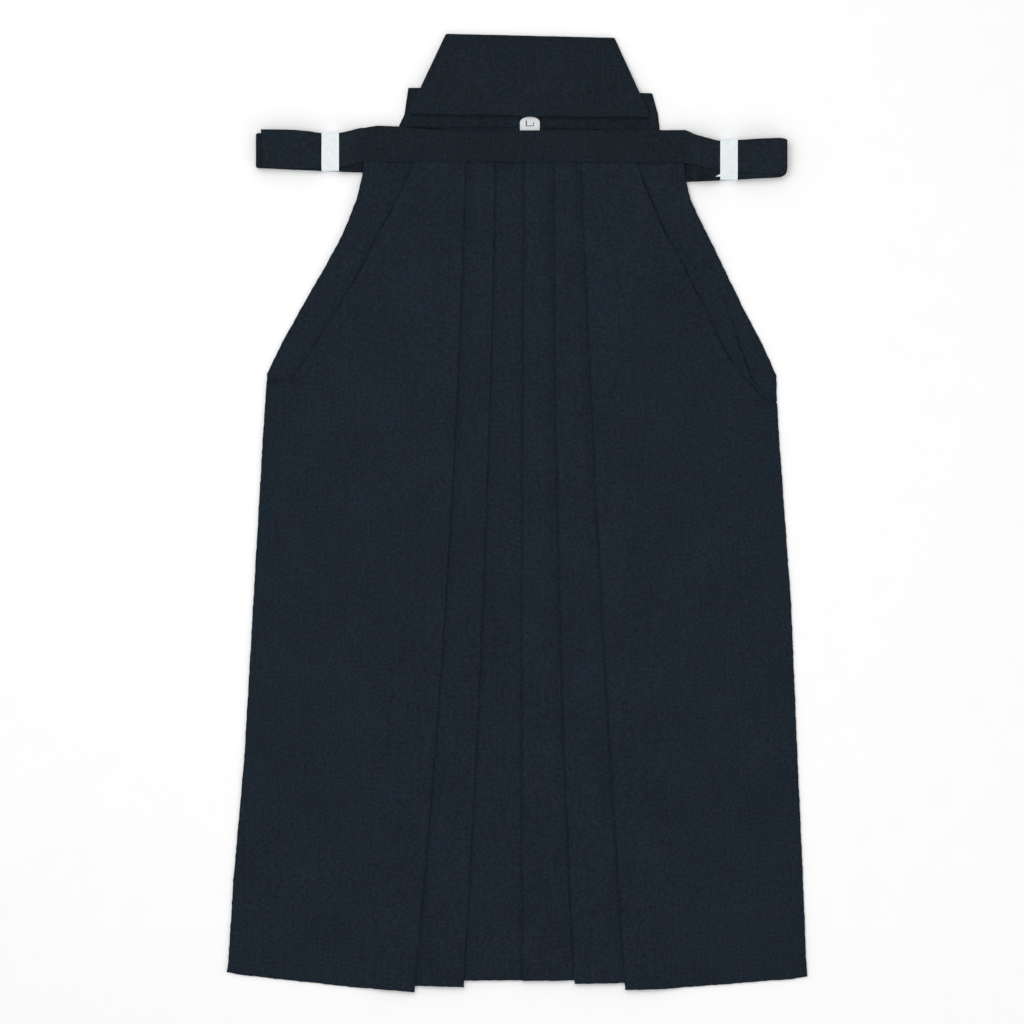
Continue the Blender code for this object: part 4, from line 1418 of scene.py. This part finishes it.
def rounded_outline(corners, radius, steps=5):
    """An outline with each corner rounded, in order, and its outward directions."""
    points = []
    count = len(corners)
    for index, corner in enumerate(corners):
        before, after = corners[index - 1], corners[(index + 1) % count]
        back = np.subtract(before, corner) / math.dist(before, corner)
        ahead = np.subtract(after, corner) / math.dist(after, corner)
        half = math.acos(float(np.dot(back, ahead))) / 2
        centre = np.asarray(corner) + (back + ahead) / np.linalg.norm(back + ahead) * radius / math.sin(half)
        start, end = corner + back * radius / math.tan(half), corner + ahead * radius / math.tan(half)
        for step in range(steps + 1):
            point = start + (end - start) * step / steps
            out = (point - centre) / np.linalg.norm(point - centre)
            points.append((centre + out * radius, out))
    return points


def spaced_outline(outline, spacing):
    """The outline with points added along its straight stretches."""
    points = []
    for index, (point, out) in enumerate(outline):
        after, after_out = outline[(index + 1) % len(outline)]
        count = max(math.ceil(math.dist(point, after) / spacing), 1)
        for step in range(count):
            share = step / count
            points.append((point + share * (after - point), out + share * (after_out - out)))
    return points


def plate_layers(outline, rings, inner_rings):
    """Rings of points with a depth below the face: each ring inset from the outline, then drawn to the middle."""
    centre = np.mean([point for point, out in outline], axis=0)
    layers = [[(point - inset * out, depth) for point, out in outline] for inset, depth in rings]
    for share in inner_rings:
        layers.append([(centre + share * (point - centre), rings[-1][1]) for point, depth in layers[len(rings) - 1]])
    return layers, (centre, rings[-1][1])


def make_plate(name, layers, middle, thickness, under, material):
    """A plate with shaped edges, from rings of points with their depth below the face."""
    count = len(layers[0])
    centre, centre_depth = middle
    points, faces = [], []
    for side in (1, 0):
        for layer in layers:
            for (x, y), depth in layer:
                points.append((x, y, under(x, y) + (thickness - depth if side else depth)))
        points.append((*centre, under(*centre) + (thickness - centre_depth if side else centre_depth)))
    half = len(layers) * count + 1
    for side in (0, 1):
        base = side * half
        for layer in range(len(layers) - 1):
            for index in range(count):
                after = (index + 1) % count
                first, second = base + layer * count, base + (layer + 1) * count
                faces.append((first + index, first + after, second + after, second + index))
        last = base + (len(layers) - 1) * count
        for index in range(count):
            faces.append((last + index, last + (index + 1) % count, base + half - 1))
    for index in range(count):
        after = (index + 1) % count
        faces.append((index, after, half + after, half + index))
    x, y, z = np.array(points).T
    return new_piece(name, np.stack(settle(x, y, z), axis=1), faces, material, sharp=60.0)


def board_under(x, y):
    """The board's underside: its top edge is on the floor, and it leans on the back ties."""
    top_right, top_left = BOARD_CORNERS[2], BOARD_CORNERS[3]
    edge_x, edge_y = top_right[0] - top_left[0], top_right[1] - top_left[1]
    distance = ((x - top_left[0]) * edge_y - (y - top_left[1]) * edge_x) / math.hypot(edge_x, edge_y)
    return max(distance, 0.0) * BOARD_SLOPE


BOARD_EDGE = ((0.0, 1.7), (0.08, 1.2), (0.32, 0.7), (0.75, 0.3), (1.2, 0.08), (1.7, 0.0))
BOARD_GROOVE = ((3.4, 0.0), (4.2, 0.3), (5.0, 0.0))
# Below this height the board's rounded edge is painted with shade
BOARD_SHADE_LINE = 447.0
BOARD_FACE = ((9.0, -0.1), (16.0, -0.25), (26.0, -0.4), (36.0, -0.45))


def board_ring(inset, spacing=4.0):
    """The board's outline, drawn in by an inset, with the same number of points for every inset."""
    corners = [np.array(corner) for corner in BOARD_CORNERS]
    count = len(corners)
    drawn_in = []
    for index, corner in enumerate(corners):
        back = corners[index - 1] - corner
        ahead = corners[(index + 1) % count] - corner
        toward = back / np.linalg.norm(back) + ahead / np.linalg.norm(ahead)
        toward /= np.linalg.norm(toward)
        half = math.acos(float(np.dot(toward, ahead / np.linalg.norm(ahead))))
        drawn_in.append(corner + toward * inset / math.sin(half))
    rounded = rounded_outline(drawn_in, max(BOARD_CORNER_RADIUS - inset, 0.4))
    whole = rounded_outline(BOARD_CORNERS, BOARD_CORNER_RADIUS)
    points = []
    for index, (point, out) in enumerate(rounded):
        steps = max(math.ceil(math.dist(whole[index][0], whole[(index + 1) % len(whole)][0]) / spacing), 1)
        after = rounded[(index + 1) % len(rounded)][0]
        points += [point + (after - point) * step / steps for step in range(steps)]
    return points


def make_board():
    rings = BOARD_EDGE + BOARD_GROOVE + BOARD_FACE
    layers = [[(point, depth) for point in board_ring(inset)] for inset, depth in rings]
    middle = (np.mean([point for point, depth in layers[-1]], axis=0), rings[-1][1])
    piece = make_plate(
        "back_board_cover", layers, middle, BOARD_THICKNESS - 0.3, board_under, binding_twill("board")
    )
    # Painted shade on the board's rounded lower edge, where it stands over the back ties
    dark = [float(depth > 0.0 and y < BOARD_SHADE_LINE) for layer in layers[: len(BOARD_EDGE)] for (x, y), depth in layer]
    spare = [0.0] * (len(piece.data.vertices) // 2 - len(dark))
    set_shares(piece, "painted_shade", (dark + spare) * 2)
    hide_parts("back_board")


def spatula_outline():
    half = SPATULA_WIDTH / 2
    outline = []
    top, foot = SPATULA_ROUNDINGS
    for start, centre, rounding in ((0.0, SPATULA_TOP - top, top), (math.pi, SPATULA_FOOT + foot, foot)):
        for step in range(17):
            angle = start + math.pi * step / 16
            point = np.array([SPATULA_CENTRE + half * math.cos(angle), centre + rounding * math.sin(angle)])
            out = np.array([math.cos(angle) / half, math.sin(angle) / rounding])
            outline.append((point, out / np.linalg.norm(out)))
    return outline


def make_spatula():
    outline = spaced_outline(spatula_outline(), 4.0)
    rings = [
        (0.5 * (1 - math.cos(angle)), 0.5 * (1 - math.sin(angle)))
        for angle in (math.radians(90.0 * step / 4) for step in range(5))
    ]
    layers, middle = plate_layers(outline, rings, (0.8, 0.6, 0.4, 0.2))
    plastic = moulded_plastic()
    piece = make_plate(
        "spatula_plastic", layers, middle, SPATULA_THICKNESS, lambda x, y: OVER_BACK, plastic
    )
    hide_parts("spatula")
    make_backing()


def make_backing():
    """The tab of cloth that the spatula is sewn to, between the two back ties and under the board."""
    right, left = BACK_TIES["right"], BACK_TIES["left"]
    rows = []
    for height in (right["inner_heights"][-1] + 0.02, SPATULA_TOP + 10.0):
        row = ClothRow(level=2)
        row.lie(-right["inner"] + 0.2, 0.0, height)
        row.lie(left["inner"] - 0.2, 0.0, height)
        rows.append(row.places)
    wall = Wall(rows, grid_spacing(), rims=(False, False, False, False))
    piece = wall.sew("spatula_backing_cloth", mirrored(1.0), binding_twill("board"))


# Sewing


class Surface:
    """Finds the top of some pieces at a place, in millimetres of the tables."""

    def __init__(self, *names):
        points, faces = [], []
        for name in names:
            mesh = bpy.data.objects[name].data
            start = len(points)
            points += [vertex.co.copy() for vertex in mesh.vertices]
            faces += [[start + index for index in face.vertices] for face in mesh.polygons]
        self.tree = BVHTree.FromPolygons(points, faces)
        self.shift = table_shift()

    def top(self, x, y):
        start = Vector((x * MM + self.shift[0], y * MM + self.shift[1], 0.1))
        hit = self.tree.ray_cast(start, Vector((0.0, 0.0, -1.0)))[0]
        return None if hit is None else hit.z / MM


STITCH_SECTIONS = ((0.0, -0.9, 0.45), (0.14, 0.1, 0.9), (0.5, 0.55, 1.0), (0.86, 0.1, 0.9), (1.0, -0.9, 0.45))
STITCH_SIDES = 6


def add_stitch(points, faces, surface, start, end, radius):
    """One stitch: a short thread that comes out of the cloth, lies on it and goes in again."""
    run = np.subtract(end, start)
    length = math.hypot(*run)
    side = np.array([-run[1], run[0]]) / length
    base = len(points)
    for share, height, fullness in STITCH_SECTIONS:
        x, y = np.asarray(start) + share * run
        top = surface.top(x, y)
        if top is None:
            del points[base:]
            return
        for corner in range(STITCH_SIDES):
            angle = math.tau * corner / STITCH_SIDES
            reach = radius * fullness * math.cos(angle)
            lift = radius * (height + fullness * math.sin(angle))
            points.append((x + reach * side[0], y + reach * side[1], top + lift))
    sections = len(STITCH_SECTIONS)
    for section in range(sections - 1):
        first = base + section * STITCH_SIDES
        for corner in range(STITCH_SIDES):
            after = (corner + 1) % STITCH_SIDES
            faces.append((first + corner, first + after, first + STITCH_SIDES + after, first + STITCH_SIDES + corner))
    faces.append(tuple(range(base + STITCH_SIDES - 1, base - 1, -1)))
    last = base + (sections - 1) * STITCH_SIDES
    faces.append(tuple(range(last, last + STITCH_SIDES)))


def sew_stitches(name, surface, stitches, material):
    """A piece of thread for each stitch, given as its two ends."""
    radius = bpy.context.scene.hakama_sewing.radius / MM
    points, faces = [], []
    for start, end in stitches:
        add_stitch(points, faces, surface, start, end, radius)
    new_piece(name, points, faces, material)


def row_of_stitches(line, length, pitch):
    """The two ends of each stitch along a line, with a given distance from one stitch to the next."""
    line = np.array(line, float)
    runs = np.concatenate([[0.0], np.cumsum(np.linalg.norm(np.diff(line, axis=0), axis=1))])
    starts = np.arange(pitch / 2, runs[-1] - length, pitch)
    ends = [[np.interp(starts + shift, runs, line[:, axis]) for axis in (0, 1)] for shift in (0.0, length)]
    return [((x, y), (next_x, next_y)) for x, y, next_x, next_y in zip(*ends[0], *ends[1])]


def slit_line(side, inset):
    table = [entry for entry in slit_rows(side) if entry[0] < PANEL_TOP]
    return [(mirror_of(side) * (entry[1] - inset), entry[0]) for entry in table[1:-1]]


def hem_line(side, above):
    return [(mirror_of(side) * out, height + above) for out, height in OUTER_HEMS[side]]


def bar_tack(side, count=7):
    """Close stitches side by side across the foot of the side fold, whose near-black thread also paints the shade of
    the dimple there.
    """
    height, _, fold = slit_rows(side)[-2]
    middle = mirror_of(side) * (fold + 1.0)
    heights = [height - 3.0 + step for step in range(count)]
    return [((middle - 2.6, along), (middle + 2.6, along + 0.4)) for along in heights]


def tie_stitches(side):
    """Along both edges of a tie's top run, but not under its band."""
    tie = FRONT_TIES[side]
    mirror = mirror_of(side)
    inset = {1: -2.4, 2: 2.4}
    stitches = []
    for column, shift in inset.items():
        whole = [(row[0], row[column] + shift) for row in tie["face"]]
        start, stop = tie["start"] + 2.0, tie["outer"] - 4.0
        for first, last in ((start, tie["band"][0] - 2.0), (tie["band"][1] + 2.0, stop)):
            stops = [first] + [row[0] for row in whole if first < row[0] < last] + [last]
            line = [(mirror * at, float(interpolate(at, whole))) for at in stops]
            stitches += row_of_stitches(line, 2.4, 6.0)
    return stitches


def board_line(inset):
    line = board_ring(inset)
    return line + [line[0]]


def spatula_loop():
    """The thread that holds the spatula: passes side by side down, across and up again."""
    left, right = SPATULA_CENTRE - 4.4, SPATULA_CENTRE + 4.0
    passes = [((left + 0.45 * turn, 438.0 - 0.3 * turn), (left + 0.45 * turn, 430.2)) for turn in range(3)]
    passes += [((left - 0.2, 430.7 + 0.4 * turn), (right + 0.4, 431.0 + 0.4 * turn)) for turn in range(2)]
    return passes + [((right + 0.45 * turn, 430.4), (right + 0.45 * turn, 436.0)) for turn in range(2)]


def make_stitching():
    thread = thread_finish("sewing_thread", tuple(bpy.context.scene.hakama_sewing.colour))
    for side in ("right", "left"):
        surface = Surface(f"front_{side}_leg_cloth", f"back_{side}_leg_cloth")
        stitches = row_of_stitches(slit_line(side, 3.2), 3.0, 5.0) + row_of_stitches(hem_line(side, 27.0), 1.0, 8.0)
        sew_stitches(f"front_{side}_leg_stitches", surface, stitches + bar_tack(side), thread)
        surface = Surface(f"front_tie_{side}_cloth")
        sew_stitches(f"front_tie_{side}_stitches", surface, tie_stitches(side), thread)
    ends = ((WAISTBAND[0][0] + 2.0, WAISTBAND_FOOT[0] + 2.4), (WAISTBAND[-1][0] - 2.0, WAISTBAND_FOOT[1] + 2.4))
    stitches = row_of_stitches(ends, 2.2, 5.5)
    sew_stitches("waistband_stitches", Surface("front_waistband_cloth"), stitches, thread)
    stitches = row_of_stitches(board_line(4.2), 2.2, 5.0)
    sew_stitches("back_board_stitches", Surface("back_board_cover"), stitches, thread)
    thread = thread_finish("spatula_thread", tuple(bpy.context.scene.hakama_sewing.spatula_thread))
    sew_stitches("spatula_stitches", Surface("spatula_plastic"), spatula_loop(), thread)


# Stage


def make_stage():
    stage = bpy.context.scene.hakama_stage
    bpy.ops.mesh.primitive_plane_add(size=stage.floor_width)
    floor = bpy.context.object
    floor.name = "floor"
    floor.data.materials.append(pale_floor())
    world = bpy.data.worlds.new("studio")
    world.use_nodes = True
    world.node_tree.nodes["Background"].inputs["Color"].default_value = (1.0, 1.0, 1.0, 1.0)
    world.node_tree.nodes["Background"].inputs["Strength"].default_value = stage.sky
    bpy.context.scene.world = world
    for name, place, size, share in (
        ("softbox_over", (-0.4, 0.5, 2.6), 2.2, 1.0),
        ("softbox_low", (1.6, -1.5, 1.5), 1.2, 0.16),
    ):
        lamp = bpy.data.lights.new(name, "AREA")
        lamp.shape = "SQUARE"
        lamp.size = size
        lamp.energy = stage.softbox * share
        light = bpy.data.objects.new(name, lamp)
        light.location = place
        light.rotation_mode = "QUATERNION"
        light.rotation_quaternion = Vector(place).to_track_quat("Z", "Y")
        bpy.context.scene.collection.objects.link(light)
    camera_data = bpy.data.cameras.new("camera")
    camera_data.lens = stage.lens
    camera = bpy.data.objects.new("camera", camera_data)
    shift = table_shift()
    distance = stage.view_width * stage.lens / camera_data.sensor_width
    camera.location = (VIEW_CENTRE[0] * MM + shift[0], VIEW_CENTRE[1] * MM + shift[1], distance)
    bpy.context.scene.collection.objects.link(camera)
    bpy.context.scene.camera = camera
    bpy.context.scene.view_settings.view_transform = "Standard"


class HAKAMA_OT_back_legs(bpy.types.Operator):
    """Lay the two back panels on the floor, each with its hidden centre pleat"""

    bl_idname = "hakama.back_legs"
    bl_label = "Back Legs"

    def execute(self, context):
        for side in ("right", "left"):
            make_back_leg(side)
        return {"FINISHED"}


class HAKAMA_OT_gusset(bpy.types.Operator):
    """Lay the crotch gusset between the back and the front"""

    bl_idname = "hakama.gusset"
    bl_label = "Gusset"

    def execute(self, context):
        make_gusset()
        return {"FINISHED"}


class HAKAMA_OT_front_legs(bpy.types.Operator):
    """Fold and lay the two front panels with their pleats and side folds"""

    bl_idname = "hakama.front_legs"
    bl_label = "Front Legs"

    def execute(self, context):
        if context.scene.hakama_cloth.thickness >= PITCH * MM:
            raise ValueError("the cloth is thicker than the distance between its layers")
        for side in ("right", "left"):
            make_front_leg(side)
        return {"FINISHED"}


class HAKAMA_OT_waistband(bpy.types.Operator):
    """Fold the waistband over the front's top edge"""

    bl_idname = "hakama.waistband"
    bl_label = "Waistband"

    def execute(self, context):
        make_waistband()
        return {"FINISHED"}


class HAKAMA_OT_front_ties(bpy.types.Operator):
    """Fold the two long front ties to and fro beside the waist"""

    bl_idname = "hakama.front_ties"
    bl_label = "Front Ties"

    def execute(self, context):
        for side in ("right", "left"):
            make_front_tie(side)
        return {"FINISHED"}


class HAKAMA_OT_back_ties(bpy.types.Operator):
    """Fold the two back ties in under the board"""

    bl_idname = "hakama.back_ties"
    bl_label = "Back Ties"

    def execute(self, context):
        for side in ("right", "left"):
            make_back_tie(side)
        return {"FINISHED"}


class HAKAMA_OT_tie_bands(bpy.types.Operator):
    """Wrap a strip of white paper round each folded tie"""

    bl_idname = "hakama.tie_bands"
    bl_label = "Tie Bands"

    def execute(self, context):
        band_paper()
        for side in ("right", "left"):
            make_tie_band(side)
        return {"FINISHED"}


class HAKAMA_OT_board(bpy.types.Operator):
    """Make the stiff back board in its cloth cover"""

    bl_idname = "hakama.board"
    bl_label = "Back Board"

    def execute(self, context):
        make_board()
        return {"FINISHED"}


class HAKAMA_OT_spatula(bpy.types.Operator):
    """Make the small spatula below the board"""

    bl_idname = "hakama.spatula"
    bl_label = "Spatula"

    def execute(self, context):
        make_spatula()
        return {"FINISHED"}


class HAKAMA_OT_stitching(bpy.types.Operator):
    """Sew the slits, hems, waistband, ties and board, and tie on the spatula"""

    bl_idname = "hakama.stitching"
    bl_label = "Stitching"

    def execute(self, context):
        make_stitching()
        return {"FINISHED"}


class HAKAMA_OT_stage(bpy.types.Operator):
    """Set up the pale floor, the soft light and the camera overhead"""

    bl_idname = "hakama.stage"
    bl_label = "Stage"

    def execute(self, context):
        make_stage()
        return {"FINISHED"}


OPERATORS = (
    HAKAMA_OT_back_legs,
    HAKAMA_OT_gusset,
    HAKAMA_OT_front_legs,
    HAKAMA_OT_back_ties,
    HAKAMA_OT_spatula,
    HAKAMA_OT_waistband,
    HAKAMA_OT_front_ties,
    HAKAMA_OT_tie_bands,
    HAKAMA_OT_board,
    HAKAMA_OT_stitching,
    HAKAMA_OT_stage,
)


class HAKAMA_PT_sidebar(bpy.types.Panel):
    """The hakama's pieces, in the order that they are laid down"""

    bl_label = "Hakama"
    bl_idname = "HAKAMA_PT_sidebar"
    bl_space_type = "VIEW_3D"
    bl_region_type = "UI"
    bl_category = "Hakama"

    def draw(self, context):
        for operator in OPERATORS:
            self.layout.operator(operator.bl_idname)
        for name in SETTINGS:
            group = getattr(context.scene, name)
            for key in group.bl_rna.properties.keys():
                if key not in ("rna_type", "name"):
                    self.layout.prop(group, key)


SETTINGS = {
    "hakama_cloth": ClothSettings,
    "hakama_sewing": SewingSettings,
    "hakama_trim": TrimSettings,
    "hakama_stage": StageSettings,
}
CLASSES = (*SETTINGS.values(), *OPERATORS, HAKAMA_PT_sidebar)


def register():
    for made in CLASSES:
        bpy.utils.register_class(made)
    for name, group in SETTINGS.items():
        setattr(bpy.types.Scene, name, PointerProperty(type=group))


def unregister():
    for name in SETTINGS:
        delattr(bpy.types.Scene, name)
    for made in reversed(CLASSES):
        bpy.utils.unregister_class(made)


def main():
    register()
    for operator in OPERATORS:
        group, name = operator.bl_idname.split(".")
        getattr(getattr(bpy.ops, group), name)()


if __name__ == "__main__":
    main()
